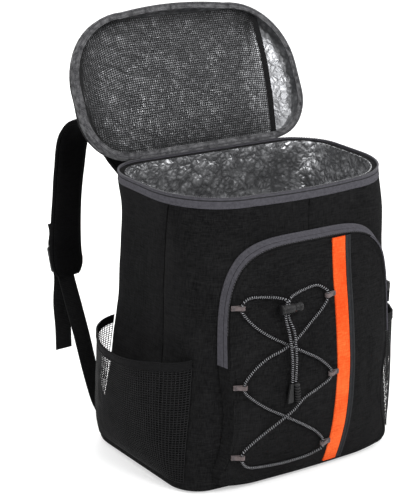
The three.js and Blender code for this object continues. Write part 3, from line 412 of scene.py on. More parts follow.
class Look:
    """A material with one Principled shader."""

    def __init__(self, name, roughness=0.8, metallic=0.0, specular=0.5):
        self.material = bpy.data.materials.new(name)
        self.material.use_nodes = True
        self.tree = self.material.node_tree
        self.tree.nodes.clear()
        self.shader = self.tree.nodes.new("ShaderNodeBsdfPrincipled")
        self.shader.inputs["Roughness"].default_value = roughness
        self.shader.inputs["Metallic"].default_value = metallic
        self.shader.inputs["Specular IOR Level"].default_value = specular
        output = self.tree.nodes.new("ShaderNodeOutputMaterial")
        self.tree.links.new(self.shader.outputs[0], output.inputs[0])

    def node(self, kind, settings=None, inputs=None, output=0):
        made_node = self.tree.nodes.new(kind)
        for key, value in (settings or {}).items():
            setattr(made_node, key, value)
        for key, value in (inputs or {}).items():
            self.put(value, made_node.inputs[key])
        return Term(self, made_node.outputs[output])

    def put(self, value, socket):
        if isinstance(value, Term):
            self.tree.links.new(value.socket, socket)
        else:
            socket.default_value = value

    def place(self, scale, source="Object"):
        """The surface's own coordinates, stretched by scale, in cells per metre."""
        where = self.node("ShaderNodeTexCoord", output=source)
        return self.node("ShaderNodeMapping", {}, {"Vector": where, "Scale": scale})

    def noise(self, scale, detail=2.0, source="Object"):
        inputs = {"Vector": self.place(scale, source), "Scale": 1.0, "Detail": detail}
        return self.node("ShaderNodeTexNoise", {}, inputs)

    def stripes(self, axis, pitch, source="UV", phase=0.0):
        """A wave from 0 to 1 that repeats every pitch millimetres along an axis."""
        where = self.node("ShaderNodeTexCoord", output=source)
        parts = self.node("ShaderNodeSeparateXYZ", {}, {0: where}, output=axis)
        return (parts * (2000 * math.pi / pitch) + phase).sine() * 0.5 + 0.5

    def colours(self, share, dark, light):
        inputs = {0: share, 6: (*dark, 1), 7: (*light, 1)}
        return self.node("ShaderNodeMix", {"data_type": "RGBA"}, inputs, output=2)

    def finish(self, colour, bump=None, depth=0.0003, roughness=None):
        self.put(colour if isinstance(colour, Term) else (*colour, 1), self.shader.inputs["Base Color"])
        if roughness is not None:
            self.put(roughness, self.shader.inputs["Roughness"])
        if bump is not None:
            raised = self.node("ShaderNodeBump", {}, {"Height": bump, "Distance": depth, "Strength": 1.0})
            self.put(raised, self.shader.inputs["Normal"])
        return self.material


def heather(name, dark, light, depth=0.0003, blotch=0.14):
    """Plain weave of mixed threads, long ones up the wall and across it, and slow blotches."""
    look = Look(name, roughness=0.92, specular=0.04)
    up = look.noise((1300, 1300, 90))
    across = look.noise((90, 90, 1300))
    fine = look.noise((1700, 1700, 1700), detail=1.0)
    cloud = look.noise((14, 14, 14))
    threads = up * 0.42 + across * 0.42 + fine * 0.16
    tone = (threads + cloud * blotch - blotch / 2).above(0.52, 0.18)
    return look.finish(look.colours(tone, dark, light), threads, depth)


def woven_tape(name, dark, light, pitch=1.4):
    """Zip tape or webbing: fine ribs across the run and a slight mottle."""
    look = Look(name, roughness=0.85, specular=0.12)
    ribs = look.stripes(1, pitch)
    threads = look.stripes(0, pitch * 0.8)
    mottle = look.noise((300, 300, 300))
    tone = (mottle * 0.7 + ribs * 0.15 + threads * 0.15).above(0.5, 0.3)
    return look.finish(look.colours(tone, dark, light), ribs * 0.6 + threads * 0.4, 0.00025)


def crinkled_foil(name, dark, light, roughness, depth):
    """Silver film with sharp small creases and a soft wide ripple; its colour is darker in the creases and
    lighter on the ridges, as painted shade and highlight.
    """
    look = Look(name, roughness=roughness, metallic=0.72)

    def creases(scale):
        where = look.place((scale,) * 3)
        settings = {"feature": "DISTANCE_TO_EDGE"}
        return look.node("ShaderNodeTexVoronoi", settings, {"Vector": where, "Scale": 1.0})

    wide, narrow = creases(62), creases(150)
    ripple = look.noise((34, 34, 34), detail=3.0)
    height = wide * 0.5 + narrow * 0.28 + ripple * 0.5
    # Painted shade and highlight: the colour follows the crease height.
    tone = (wide * 0.5 + narrow * 0.4 + ripple * 0.45).above(0.42, 0.2)
    return look.finish(look.colours(tone, dark, light), height, depth, narrow * 0.2 + (roughness - 0.1))


def gathered_tape(name, dark, light):
    """Soft woven tape whose colour follows its creases: painted shade in the hollows and painted highlight on
    the folds.
    """
    look = Look(name, roughness=0.9, specular=0.1)
    creases = look.noise((150, 150, 150), detail=3.0)
    ribs = look.stripes(0, 1.6)
    # Painted shade and highlight: the tone follows the crease height.
    tone = (creases * 0.85 + ribs * 0.15).above(0.5, 0.2)
    return look.finish(look.colours(tone, dark, light), creases * 3.0 + ribs * 0.3, 0.0006)


def braid(name):
    """Braided elastic: black with pale crossing flecks."""
    look = Look(name, roughness=0.75, specular=0.15)
    turn = 2 * math.pi * 1000 / (math.pi * CORD_DIAMETER)
    where = look.node("ShaderNodeTexCoord", output="UV")
    around = look.node("ShaderNodeSeparateXYZ", {}, {0: where}, output=0) * turn
    along = look.node("ShaderNodeSeparateXYZ", {}, {0: where}, output=1) * (2000 * math.pi / FLECK_PITCH)
    flecks = (along + around).sine() * 0.8 + (around * 3 - along * 2).sine() * 0.2
    tone = flecks.above(0.66, 0.13)
    return look.finish(look.colours(tone, (0.0035, 0.0035, 0.004), (0.36, 0.36, 0.38)), flecks, 0.00025)


def moulded(name, colour, roughness=0.42, specular=0.4):
    look = Look(name, roughness=roughness, specular=specular)
    grain = look.noise((900, 900, 900))
    tone = look.colours(grain, [0.8 * c for c in colour], [1.2 * c for c in colour])
    return look.finish(tone, grain, 0.00006, grain * 0.12 + (roughness - 0.06))


def knitted(name, dark, light, pitch):
    """Spacer cloth: small round dimples."""
    look = Look(name, roughness=0.95, specular=0.08)
    cells = look.node(
        "ShaderNodeTexVoronoi", {},
        {"Vector": look.place((1000 / pitch,) * 3), "Scale": 1.0, "Randomness": 0.15},
    )
    return look.finish(look.colours(cells.above(0.35, 0.2), dark, light), cells, 0.0006)


FABRIC = heather("heather_cloth", (0.0026, 0.0026, 0.0028), (0.0122, 0.0122, 0.0125))
TAPE_GREY = woven_tape("grey_zip_tape", (0.036, 0.035, 0.041), (0.064, 0.062, 0.072))
LIP_GREY = gathered_tape("creased_grey_tape", (0.022, 0.022, 0.0235), (0.115, 0.115, 0.119))
# Painted shade: near-black tape colour for the groove under the rim's zip teeth.
ZIP_GROOVE_SHADE = woven_tape("zip_groove_painted_shade", (0.012, 0.012, 0.013), (0.024, 0.024, 0.026))
COIL_GREY = moulded("zip_teeth_grey", (0.05, 0.049, 0.055), 0.5)
FOIL = crinkled_foil("crinkled_foil", (0.16, 0.162, 0.168), (0.52, 0.525, 0.54), 0.32, 0.0045)
# The same film as the cabin foil with darker colours: partly a darker film, partly painted shade of the open
# lid's inside.
LID_FOIL = crinkled_foil("crinkled_lid_foil", (0.13, 0.132, 0.138), (0.35, 0.354, 0.365), 0.4, 0.0026)
NET_BLACK = moulded("net_yarn", (0.0035, 0.0035, 0.004), 0.6, 0.2)
SEAM_CLOTH = woven_tape("seam_tape", (0.012, 0.013, 0.0145), (0.021, 0.022, 0.024), 1.6)
# Painted shade: near-black cloth for thin strips laid in the wall seams, where the grooves' shadow falls.
SEAM_SHADE_BLACK = heather("seam_painted_shade", (0.0006, 0.0006, 0.0006), (0.0016, 0.0016, 0.0016))
# Near-black binding; also used as painted shade on the front pocket's zip tape.
BINDING_AND_SHADE = woven_tape("elastic_binding", (0.0014, 0.0014, 0.0016), (0.005, 0.005, 0.0055), 1.6)
ORANGE = heather("orange_cloth", (0.52, 0.05, 0.008), (0.74, 0.125, 0.03), 0.0002, 0.6)
LOOP_GREY = woven_tape("loop_webbing", (0.07, 0.056, 0.056), (0.14, 0.116, 0.116), 1.1)
BRAID = braid("braided_elastic")
PLASTIC = moulded("black_plastic", (0.0035, 0.0035, 0.0038), 0.5, 0.25)
SOFT_PLASTIC = moulded("soft_black_plastic", (0.004, 0.004, 0.0044), 0.6, 0.3)
STRAP_CLOTH = heather("strap_cloth", (0.0015, 0.0015, 0.0016), (0.006, 0.006, 0.0064))
WEBBING = woven_tape("strap_webbing", (0.002, 0.002, 0.0022), (0.008, 0.008, 0.0085), 2.2)
SPACER = knitted("back_spacer_cloth", (0.003, 0.003, 0.003), (0.016, 0.016, 0.017), 3.6)
THREAD_BLACK = moulded("black_thread", (0.008, 0.008, 0.0085), 0.8, 0.1)
THREAD_GREY = moulded("grey_thread", (0.08, 0.078, 0.085), 0.8, 0.1)


# Geometry node trees
class Rule:
    """A Geometry Nodes tree with named inputs, run on a mesh of points and edges."""

    def __init__(self, name, **sizes):
        self.tree = bpy.data.node_groups.new(name, "GeometryNodeTree")
        self.tree.interface.new_socket("Geometry", in_out="INPUT", socket_type="NodeSocketGeometry")
        self.keys = {}
        for label, value in sizes.items():
            kind = "NodeSocketVector" if isinstance(value, tuple) else "NodeSocketFloat"
            socket = self.tree.interface.new_socket(label, in_out="INPUT", socket_type=kind)
            socket.default_value = value
            self.keys[label] = socket.identifier
        self.tree.interface.new_socket("Geometry", in_out="OUTPUT", socket_type="NodeSocketGeometry")
        self.given = self.tree.nodes.new("NodeGroupInput")
        self.result = self.tree.nodes.new("NodeGroupOutput")

    def size(self, label):
        return self.given.outputs[label]

    def node(self, kind, settings=None, inputs=None):
        made_node = self.tree.nodes.new(kind)
        for key, value in (settings or {}).items():
            setattr(made_node, key, value)
        for key, value in (inputs or {}).items():
            if isinstance(value, bpy.types.NodeSocket):
                self.tree.links.new(value, made_node.inputs[key])
            else:
                made_node.inputs[key].default_value = value
        return made_node

    def end(self, geometry, finish):
        """The tree's last steps: its copies become plain mesh and take a finish."""
        whole = self.node("GeometryNodeRealizeInstances", {}, {0: geometry})
        inputs = {"Geometry": whole.outputs[0], "Material": finish}
        painted = self.node("GeometryNodeSetMaterial", {}, inputs)
        self.tree.links.new(painted.outputs[0], self.result.inputs[0])
        return self

    def run(self, name, points, edges, finish, **sizes):
        """The tree's result on a line drawing in millimetres, as a plain piece."""
        mesh = bpy.data.meshes.new(name)
        mesh.from_pydata([p * MM for p in points], edges, [])
        piece = added(name, mesh)
        modifier = piece.modifiers.new("Rule", "NODES")
        modifier.node_group = self.tree
        for label, value in sizes.items():
            modifier[self.keys[label]] = value
        solid = bpy.data.meshes.new_from_object(piece.evaluated_get(bpy.context.evaluated_depsgraph_get()))
        piece.modifiers.remove(modifier)
        solid.materials.clear()
        solid.materials.append(finish)
        for face in solid.polygons:
            face.material_index = 0
        piece.data = solid
        solid.name = name
        solid.shade_smooth()
        return piece


def net_rule():
    """Every edge becomes a strand."""
    rule = Rule("net", Strand=NET_STRAND * MM)
    curve = rule.node("GeometryNodeMeshToCurve", {}, {"Mesh": rule.size("Geometry")})
    section = rule.node(
        "GeometryNodeCurvePrimitiveCircle", {}, {"Resolution": 4, "Radius": rule.size("Strand")},
    )
    tube = rule.node("GeometryNodeCurveToMesh", {}, {
        "Curve": curve.outputs[0], "Profile Curve": section.outputs[0], "Fill Caps": True,
    })
    return rule.end(tube.outputs[0], NET_BLACK)


def row_rule(name, across):
    """Short round pieces spaced along every line, lying along it or across it."""
    rule = Rule(
        name, Spacing=STITCH_SPACING * MM, Length=STITCH_LENGTH * MM, Radius=STITCH_RADIUS * MM,
        Up=(0.0, 0.0, 1.0),
    )
    curve = rule.node("GeometryNodeMeshToCurve", {}, {"Mesh": rule.size("Geometry")})
    spots = rule.node(
        "GeometryNodeResampleCurve", {"mode": "LENGTH"},
        {"Curve": curve.outputs[0], "Length": rule.size("Spacing")},
    )
    piece = rule.node(
        "GeometryNodeMeshCylinder", {},
        {"Vertices": 6, "Radius": rule.size("Radius"), "Depth": rule.size("Length")},
    )
    tangent = rule.node("GeometryNodeInputTangent").outputs[0]
    if across:
        turned = rule.node(
            "ShaderNodeVectorMath", {"operation": "CROSS_PRODUCT"}, {0: tangent, 1: rule.size("Up")},
        )
        tangent = turned.outputs[0]
    lie = rule.node("FunctionNodeAlignRotationToVector", {"axis": "Z"}, {"Vector": tangent})
    copies = rule.node(
        "GeometryNodeInstanceOnPoints", {},
        {"Points": spots.outputs[0], "Instance": piece.outputs[0], "Rotation": lie.outputs[0]},
    )
    return rule.end(copies.outputs[0], THREAD_BLACK)


NET = net_rule()
STITCHES = row_rule("stitches", False)
TEETH = row_rule("zip_teeth", True)


def line_drawing(lines):
    """Points and edges of several separate lines."""
    points, edges = [], []
    for line in lines:
        first = len(points)
        points.extend(line)
        edges.extend((first + k, first + k + 1) for k in range(len(line) - 1))
    return points, edges


def grid_drawing(grid):
    """Points and edges of a grid of points, grid[column][row]."""
    rows = len(grid[0])
    points = [p for column in grid for p in column]
    edges = []
    for column in range(len(grid)):
        for row in range(rows):
            here = column * rows + row
            if row + 1 < rows:
                edges.append((here, here + 1))
            if column + 1 < len(grid):
                edges.append((here, here + rows))
    return points, edges


black_seams, grey_seams = [], []

# Camera
CAMERA_TURN = -35.87
CAMERA_PITCH = 18.35
CAMERA_ROLL = 1.84
CAMERA_SIDE = 60.34
CAMERA_UP = -66.75
CAMERA_DISTANCE = 2087.33
CAMERA_TARGET = Vector((0, 0, 175))
FOCAL_PIXELS = 1709.4
IMAGE_HEIGHT = 501


def add_camera():
    turn, pitch, roll = (math.radians(a) for a in (CAMERA_TURN, CAMERA_PITCH, CAMERA_ROLL))
    back = Vector((math.sin(turn) * math.cos(pitch), -math.cos(turn) * math.cos(pitch), math.sin(pitch)))
    level = Vector((0, 0, 1)).cross(back).normalized()
    upright = back.cross(level)
    right = level * math.cos(roll) + upright * math.sin(roll)
    up = upright * math.cos(roll) - level * math.sin(roll)
    place = CAMERA_TARGET - right * CAMERA_SIDE - up * CAMERA_UP + back * CAMERA_DISTANCE
    data = bpy.data.cameras.new("camera")
    data.sensor_width = 36
    data.lens = FOCAL_PIXELS * data.sensor_width / IMAGE_HEIGHT
    data.clip_end = 50
    camera = added("camera", data)
    camera.matrix_world = Matrix.Translation(place * MM) @ Matrix((right, up, back)).transposed().to_4x4()
    bpy.context.scene.camera = camera


# name, place and target in metres, size in metres, power in watts
LIGHTS = [
    ("key", (0.3, -2.2, 2.1), (0, 0, 0.2), 1.4, 58),
    ("fill", (2.3, -1.2, 1.2), (0, 0, 0.2), 1.6, 26),
    ("left", (-2.4, -0.6, 1.3), (0, 0, 0.2), 1.4, 18),
    ("rim", (-1.2, 1.9, 1.9), (0, 0, 0.3), 1.4, 30),
    ("top", (0.2, 0.1, 2.6), (0, 0, 0.2), 1.6, 34),
    ("far", (1.7, 2.5, 2.4), (1.6, 2.3, 0), 2.6, 60),
]
STUDIO_LIGHT = 0.6
FLOOR_REACH = 12000
FLOOR_DROP = 0.4
FLOOR_TONE = 0.66
FLOOR_GLOW = 0.42


def add_studio():
    for name, place, target, size, power in LIGHTS:
        data = bpy.data.lights.new(name, "AREA")
        data.size = size
        data.energy = power
        lamp = added(name, data)
        lamp.location = place
        lamp.rotation_euler = (Vector(target) - Vector(place)).to_track_quat("-Z", "Y").to_euler()
    world = bpy.data.worlds.new("studio")
    world.use_nodes = True
    world.node_tree.nodes["Background"].inputs["Color"].default_value = (1, 1, 1, 1)
    world.node_tree.nodes["Background"].inputs["Strength"].default_value = STUDIO_LIGHT
    bpy.context.scene.world = world
    bpy.context.scene.view_settings.view_transform = "Standard"
    corners = [
        Vector((x * FLOOR_REACH, y * FLOOR_REACH, -FLOOR_DROP))
        for x, y in ((-1, -1), (1, -1), (1, 1), (-1, 1))
    ]
    pale = Look("pale_floor", 0.9)
    pale.shader.inputs["Emission Color"].default_value = (1, 1, 1, 1)
    pale.shader.inputs["Emission Strength"].default_value = FLOOR_GLOW
    floor = made("floor", corners, [(0, 1, 2, 3)], pale.finish((FLOOR_TONE,) * 3))


add_camera()
add_studio()


# Body
# height: share of BODY_HEIGHT. waist: share of WAIST that the width is drawn in.
# front and back: 0 has the base's corner radius, 1 the rim's.
BODY_SECTIONS = [
    {"height": BASE_EDGE / BODY_HEIGHT, "waist": 0, "front": 0, "back": 0},
    {"height": 0.14, "waist": 0.15, "front": 0, "back": 0.15},
    {"height": 0.32, "waist": 0.6, "front": 0.03, "back": 0.3},
    {"height": 0.52, "waist": 0.95, "front": 0.06, "back": 0.55},
    {"height": 0.72, "waist": 1, "front": 0.1, "back": 0.65},
    {"height": 0.88, "waist": 0.75, "front": 0.35, "back": 0.8},
    {"height": 0.96, "waist": 0.15, "front": 0.88, "back": 0.95},
    {"height": 1, "waist": 0, "front": 1, "back": 1},
]
EASE = 0.03


def body_section(z):
    """Width, depth and corner radii of the body's outline at height z."""
    height = clamp(z / BODY_HEIGHT, BODY_SECTIONS[0]["height"])
    waist, front, back = (eased(BODY_SECTIONS, "height", height, c, EASE) for c in ("waist", "front", "back"))
    return {
        "width": mix(BASE_WIDTH, RIM_WIDTH, height) - WAIST * waist,
        "depth": mix(BASE_DEPTH, RIM_DEPTH, height),
        "front": mix(BASE_FRONT_CORNER, RIM_FRONT_CORNER, front),
        "back": mix(BASE_BACK_CORNER, RIM_BACK_CORNER, back),
    }


def outline(section, z, grow):
    """A rounded rectangle with a bowed front, anticlockwise from above, from its right back corner."""
    half_width, half_depth = section["width"] / 2 + grow, section["depth"] / 2 + grow
    points = []
    for side, end, radius, start in (
        (1, 1, section["back"], 0), (-1, 1, section["back"], 90),
        (-1, -1, section["front"], 180), (1, -1, section["front"], 270),
    ):
        bend = max(radius + grow, 1)
        if start == 270:
            reach = half_width - bend
            for k in range(1, CORNER_STEPS):
                across = -1 + 2 * k / CORNER_STEPS
                points.append(Vector((across * reach, -half_depth - FRONT_BOW * (1 - across * across), z)))
        for k in range(CORNER_STEPS + 1):
            angle = math.radians(start + 90 * k / CORNER_STEPS)
            x = side * (half_width - bend) + bend * math.cos(angle)
            y = end * (half_depth - bend) + bend * math.sin(angle)
            points.append(Vector((x, y, z)))
    return points


def even_ring(section, z, grow, count=RING_POINTS):
    """The outline with count even points, from the middle of the back."""
    line = outline(section, z, grow)
    next_corner = CORNER_STEPS + 1
    middle = (line[next_corner - 1] + line[next_corner]) / 2
    return spaced([middle, *line[next_corner:], *line[:next_corner]], count, closed=True)


def body_front(x, z):
    """The y of the body's front surface at x and z."""
    section = body_section(z)
    reach = section["width"] / 2 - section["front"]
    past = abs(x) - reach
    if past <= 0:
        return -section["depth"] / 2 - FRONT_BOW * (1 - (x / reach) ** 2)
    inside = math.sqrt(max(section["front"] ** 2 - min(past, section["front"]) ** 2, 0))
    return -section["depth"] / 2 + section["front"] - inside


# The seam of each side panel: y of the seam at heights z
SIDE_SEAM = [
    {"z": 0, "y": -44},
    {"z": 157, "y": -30},
    {"z": 229, "y": -25},
    {"z": 297, "y": -28},
    {"z": 340, "y": -42},
]
SIDE_SEAM_FOOT = 40
SEAM_DEPTH = 1.3
SEAM_SHOULDER = 0.5
SEAM_REACH = 3.2
SEAM_LINE = 1.5
SEAM_RAISED = 0.35
SEAM_SUNK = 0.6
SEAM_STEPS = 60


def cloth_dent(p, reach=70, depth=1.6):
    """How far padded cloth sinks at a point: slow waves, small puckers and upright folds."""
    slow = noise.noise(p / reach)
    small = noise.noise(p / (reach * 0.3) + Vector((7, 3, 1)))
    upright = noise.noise(Vector((p.x / 22, p.y / 22, p.z / 150)))
    return depth * clamp(0.45 + 0.7 * slow + 0.3 * small + 0.45 * upright, 0, 1.4)


FRONT_SEAM = {"x": 2, "foot": 290, "depth": 1.1, "reach": 2.2}


def front_seam_dent(p):
    """The short seam from the rim to the front pocket."""
    away = abs(p.x - FRONT_SEAM["x"])
    if p.y > 0 or p.z < FRONT_SEAM["foot"] or away > 3 * FRONT_SEAM["reach"]:
        return 0
    return FRONT_SEAM["depth"] * math.exp(-((away / FRONT_SEAM["reach"]) ** 2))


def seam_dent(p):
    """The groove of a side panel's seam and the soft slope on either side of it."""
    away = abs(p.y - table_at(SIDE_SEAM, "z", p.z, "y"))
    if abs(p.x) < 100 or away > SEAM_REACH * 3:
        return 0
    groove = SEAM_DEPTH * math.exp(-((away / SEAM_REACH) ** 2))
    return groove + SEAM_SHOULDER * math.exp(-((away / (3 * SEAM_REACH)) ** 2))


def sunk(ring, dent):
    """A ring of points moved inwards by dent at each point."""
    count = len(ring)
    moved = []
    for k, p in enumerate(ring):
        run = ring[(k + 1) % count] - ring[k - 1]
        out = Vector((run.y, -run.x, 0)).normalized()
        moved.append(p - out * dent(p))
    return moved


TAPE_BOTTOM = BODY_HEIGHT - TAPE_HEIGHT
SHELL_TOP = BODY_HEIGHT - TAPE_RISE


def body_ring(z, grow=0.0):
    return even_ring(body_section(z), z, grow)


def wall_dent(p):
    """How far the body's cloth lies inside its plain outline."""
    hem = clamp((p.z - BASE_EDGE) / 20) * clamp((TAPE_BOTTOM - p.z) / 12, 0.3)
    return hem * (cloth_dent(p) + seam_dent(p) + front_seam_dent(p)) - 0.2


def side_wall(y, z):
    """The x of the body's +X wall at y and z."""
    section = body_section(z)
    front = -section["depth"] / 2 + section["front"]
    past = clamp(front - y, 0, section["front"])
    return section["width"] / 2 - section["front"] + math.sqrt(section["front"] ** 2 - past ** 2)


def wall_seam(name, low, high, place):
    """A narrow near-black strip laid along a seam as painted shade of its groove; place gives its middle,
    shifted by across, at a height.
    """
    outer, inner = [], []
    for across in (-SEAM_LINE / 2, -SEAM_LINE / 4, 0, SEAM_LINE / 4, SEAM_LINE / 2):
        raised, sunken = [], []
        for k in range(SEAM_STEPS + 1):
            z = mix(low, high, k / SEAM_STEPS)
            p, ahead = place(z, across), place(z, across + 1)
            out = Vector((ahead.y - p.y, p.x - ahead.x, 0)).normalized()
            raised.append(p - out * (wall_dent(p) - SEAM_RAISED))
            sunken.append(p - out * (wall_dent(p) + SEAM_SUNK))
        outer.append(raised)
        inner.append(sunken)
    set_in_place(sheet(name, outer, inner, SEAM_SHADE_BLACK), "body_fabric")


def build_wall_seams():
    low, high = SIDE_SEAM_FOOT, TAPE_BOTTOM - 1

    def on_wall(side):
        def place(z, across):
            y = table_at(SIDE_SEAM, "z", z, "y") + across * side
            return Vector((side * side_wall(y, z), y, z))
        return place

    def on_front(z, across):
        x = FRONT_SEAM["x"] + across
        return Vector((x, body_front(x, z), z))

    wall_seam("left_wall_seam_shade", low, high, on_wall(-1))
    wall_seam("right_wall_seam_shade", low, high, on_wall(1))
    wall_seam("front_wall_seam_shade", FRONT_SEAM["foot"], high, on_front)


def build_body():
    rings = []
    for k in range(6):
        angle = math.radians(18 * k)
        grow = -BASE_EDGE * (1 - math.sin(angle))
        rings.append(even_ring(body_section(0), BASE_EDGE * (1 - math.cos(angle)), grow))
    count = round((TAPE_BOTTOM - BASE_EDGE) / WALL_STEP)
    for k in range(1, count):
        rings.append(sunk(body_ring(mix(BASE_EDGE, TAPE_BOTTOM - SEAT, k / count)), wall_dent))
    step = TAPE_THICKNESS + SEAT
    hem = TAPE_BOTTOM - SEAT
    rings += [body_ring(hem), body_ring(hem, -step), body_ring(SHELL_TOP, -step)]
    inner = [SHELL_TOP, *(mix(TAPE_BOTTOM, BASE_EDGE, k / 14) for k in range(15))]
    rings += [body_ring(z, -WALL) for z in inner]
    body = set_in_place(loft("body_cloth", rings, FABRIC), "body_fabric", "body_shell")


def foil_dent(p):
    """How deep the cabin's foil is creased at a point, less near the rim."""
    fold = abs(noise.noise(p / 26)) + 0.6 * abs(noise.noise(p / 11))
    return 3.2 * fold * clamp((SHELL_TOP - p.z) / 10)


def build_liner():
    floor = BASE_EDGE + SEAT
    outside = [body_ring(mix(floor, SHELL_TOP - SEAT, k / 16), -WALL - SEAT) for k in range(17)]
    inside = []
    for k in range(LINER_ROWS + 1):
        z = mix(SHELL_TOP - SEAT, floor + LINER, k / LINER_ROWS)
        inside.append(sunk(body_ring(z, -WALL - SEAT - LINER), foil_dent))
    last = inside[-1]
    for share in (0.8, 0.6, 0.4, 0.2):
        lifts = [1.5 * abs(noise.noise(p * share / 20)) for p in last]
        inside.append([Vector((p.x * share, p.y * share, p.z + lift)) for p, lift in zip(last, lifts)])
    set_in_place(loft("foil_lining", outside + inside, FOIL, sharp=60), "foil", "cabin_foil_liner")


# Rounded edge of a tape: how far each point stands in from the tape's outer face and below its top
TAPE_EDGE = [(0.0, 0.5), (0.15, 0.15), (0.5, 0.0), (1.1, 0.0), (1.45, 0.15), (1.6, 0.5)]


def build_rim_tape():
    coil_foot, coil_top = BODY_HEIGHT - RIM_COIL_HIGH, BODY_HEIGHT - RIM_COIL_LOW
    profile = [
        (TAPE_BOTTOM, 0), (TAPE_BOTTOM + 1.2, 0.25), (TAPE_BOTTOM + 2.4, 0), (coil_foot, 0),
        (coil_foot + 0.3, -0.4), (coil_top, -0.4), (coil_top, 0),
    ]
    profile += [(BODY_HEIGHT - down, -inset) for inset, down in TAPE_EDGE]
    profile += [(TAPE_BOTTOM, -TAPE_THICKNESS)]
    rings = [even_ring(body_section(z), z, grow, RIM_TAPE_POINTS) for z, grow in profile]
    tape = loft("rim_tape", rings, TAPE_GREY, looped=True)
    # The groove under the zip teeth takes a near-black finish as painted shade of the teeth.
    groove = (TAPE_HEIGHT - RIM_COIL_HIGH, TAPE_HEIGHT - RIM_COIL_LOW + 1)
    two_tone(tape, ZIP_GROOVE_SHADE, lambda across, along: groove[0] * MM < along < groove[1] * MM)
    set_in_place(tape, "zip_tape", "rim_zip_tape")
    grey_seams.append(back_to_start(body_ring(TAPE_BOTTOM + 1.8, 0.2)))
    teeth = body_ring(BODY_HEIGHT + TOOTH_RADIUS * 0.6, -TAPE_THICKNESS * 0.55)
    return [back_to_start(teeth)]


# Lid, drawn closed: the rim plane is z = 0, the hinge is at y = 0 and the far edge at -LID_DEPTH
LID_SECTION = {"width": LID_WIDTH, "depth": LID_DEPTH, "front": LID_FAR_CORNER, "back": LID_HINGE_CORNER}
LID_MIDDLE = -LID_DEPTH / 2
LIP_BELOW = TAPE_THICKNESS / 2
LID_EDGE = LIP_BELOW + SEAT
LID_PLACE = (
    Matrix.Translation((0, RIM_DEPTH / 2 + SEAT + HINGE_THICKNESS, BODY_HEIGHT + SEAT))
    @ Matrix.Rotation(-math.radians(LID_OPEN), 4, "X")
)


def lid_outline(z, grow):
    """Even points round the closed lid at height z."""
    return [p + Vector((0, LID_MIDDLE, 0)) for p in even_ring(LID_SECTION, z, grow)]


def lid_ring(z, grow, dent=None):
    """lid_outline on the open lid, sunk by dent."""
    ring = lid_outline(z, grow)
    return [LID_PLACE @ p for p in (sunk(ring, dent) if dent else ring)]


def rounded_profile(rows, spacing):
    """(z, grow) pairs along a smooth curve through rows."""
    line = smooth_path([Vector((z, grow, 0)) for z, grow in rows], spacing)
    return [(p.x, p.y) for p in line]


def build_lid():
    step = -TAPE_THICKNESS - SEAT
    lining = -LID_SIDE_WALL - TAPE_THICKNESS
    ceiling = LID_HEIGHT - LID_TOP_WALL
    inside = [
        (ceiling + LID_CROWN * 0.9, lining - LID_HEIGHT * 1.3), (ceiling, lining - LID_TOP_WALL),
        (ceiling - LID_TOP_WALL * 0.6, lining), (LID_EDGE, lining), (LID_EDGE, step),
        (LID_TAPE_HEIGHT + SEAT, step), (LID_TAPE_HEIGHT + SEAT, -0.8),
    ]
    crown = rounded_profile([
        (LID_TAPE_HEIGHT + SEAT, -0.8), (LID_HEIGHT * 0.72, -LID_HEIGHT * 0.15),
        (LID_HEIGHT * 0.92, -LID_HEIGHT * 0.32), (LID_HEIGHT, -LID_HEIGHT * 0.6),
        (LID_HEIGHT + LID_CROWN * 0.9, -LID_HEIGHT * 1.6),
    ], 4)
    top = LID_HEIGHT + LID_CROWN * 0.9
    crown += [(top + 0.1 * k, -LID_HEIGHT * 1.6 - 11 * k) for k in (1, 2, 3)]
    rings = [lid_ring(z, grow) for z, grow in inside]
    rings += [lid_ring(z, grow, lambda p: cloth_dent(p, 60, 1.1)) for z, grow in crown[1:]]
    lid = set_in_place(loft("lid_cloth", rings, FABRIC), "body_fabric", "lid_shell")

    outside = lining - SEAT
    roof = ceiling - SEAT
    profile = [(roof + LID_CROWN * 0.9, outside - LID_HEIGHT * 1.3), (roof, outside - LID_TOP_WALL)]
    profile += [(roof - LID_TOP_WALL * 0.6, outside)]
    under = rounded_profile([(z - LINER, grow - LINER) for z, grow in profile[::-1]], 5)
    rows = [lid_ring(z, grow) for z, grow in profile]
    rows += [lid_ring(LID_EDGE + SEAT, outside), lid_ring(LID_EDGE + SEAT, outside - LINER)]

    def crinkle(p):
        return 2.6 * (abs(noise.noise(p / 22)) + 0.5 * abs(noise.noise(p / 9)))

    rows += [lid_ring(z, grow, crinkle) for z, grow in under]
    deep, inset = profile[0][0] - LINER, profile[0][1] - LINER
    for k in (1, 2, 3):
        flat = lid_outline(deep + 0.1 * k, inset - 11 * k)
        rows.append([LID_PLACE @ (p - Vector((0, 0, 2.2 * abs(noise.noise(p / 16))))) for p in flat])
    set_in_place(loft("lid_foil_lining", rows, LID_FOIL, sharp=60), "foil", "lid_foil_liner")


# z and grow of the lid tape's section, and the share of the creases that each row takes
LID_TAPE_ROWS = [
    (LID_TAPE_HEIGHT, -0.1, 0), (LID_TAPE_HEIGHT, -TAPE_THICKNESS, 0), (LIP_BELOW, -TAPE_THICKNESS, 0),
    (LIP_BELOW, -LID_LIP, 0), (0, -LID_LIP - 0.3, 0.5), (-LIP_BELOW, -LID_LIP, 0.6),
    (-LIP_BELOW - 0.1, -LID_LIP + 0.8, 0.8), (-LIP_BELOW + 0.3, -LID_LIP + 1.4, 1),
    (-LIP_BELOW - 0.1, -LID_LIP + 2.2, 1), (-LIP_BELOW, -3.8, 1), (-LIP_BELOW, -2.8, 1),
    (-LIP_BELOW + 0.6, -2.3, 0.3), (-LIP_BELOW, -1.8, 0.1), (-LIP_BELOW - 0.2, -1.1, 0.1),
    (-LIP_BELOW + 0.1, -0.3, 0), (0, 0, 0), (LID_TAPE_HEIGHT - 0.6, 0, 0),
]


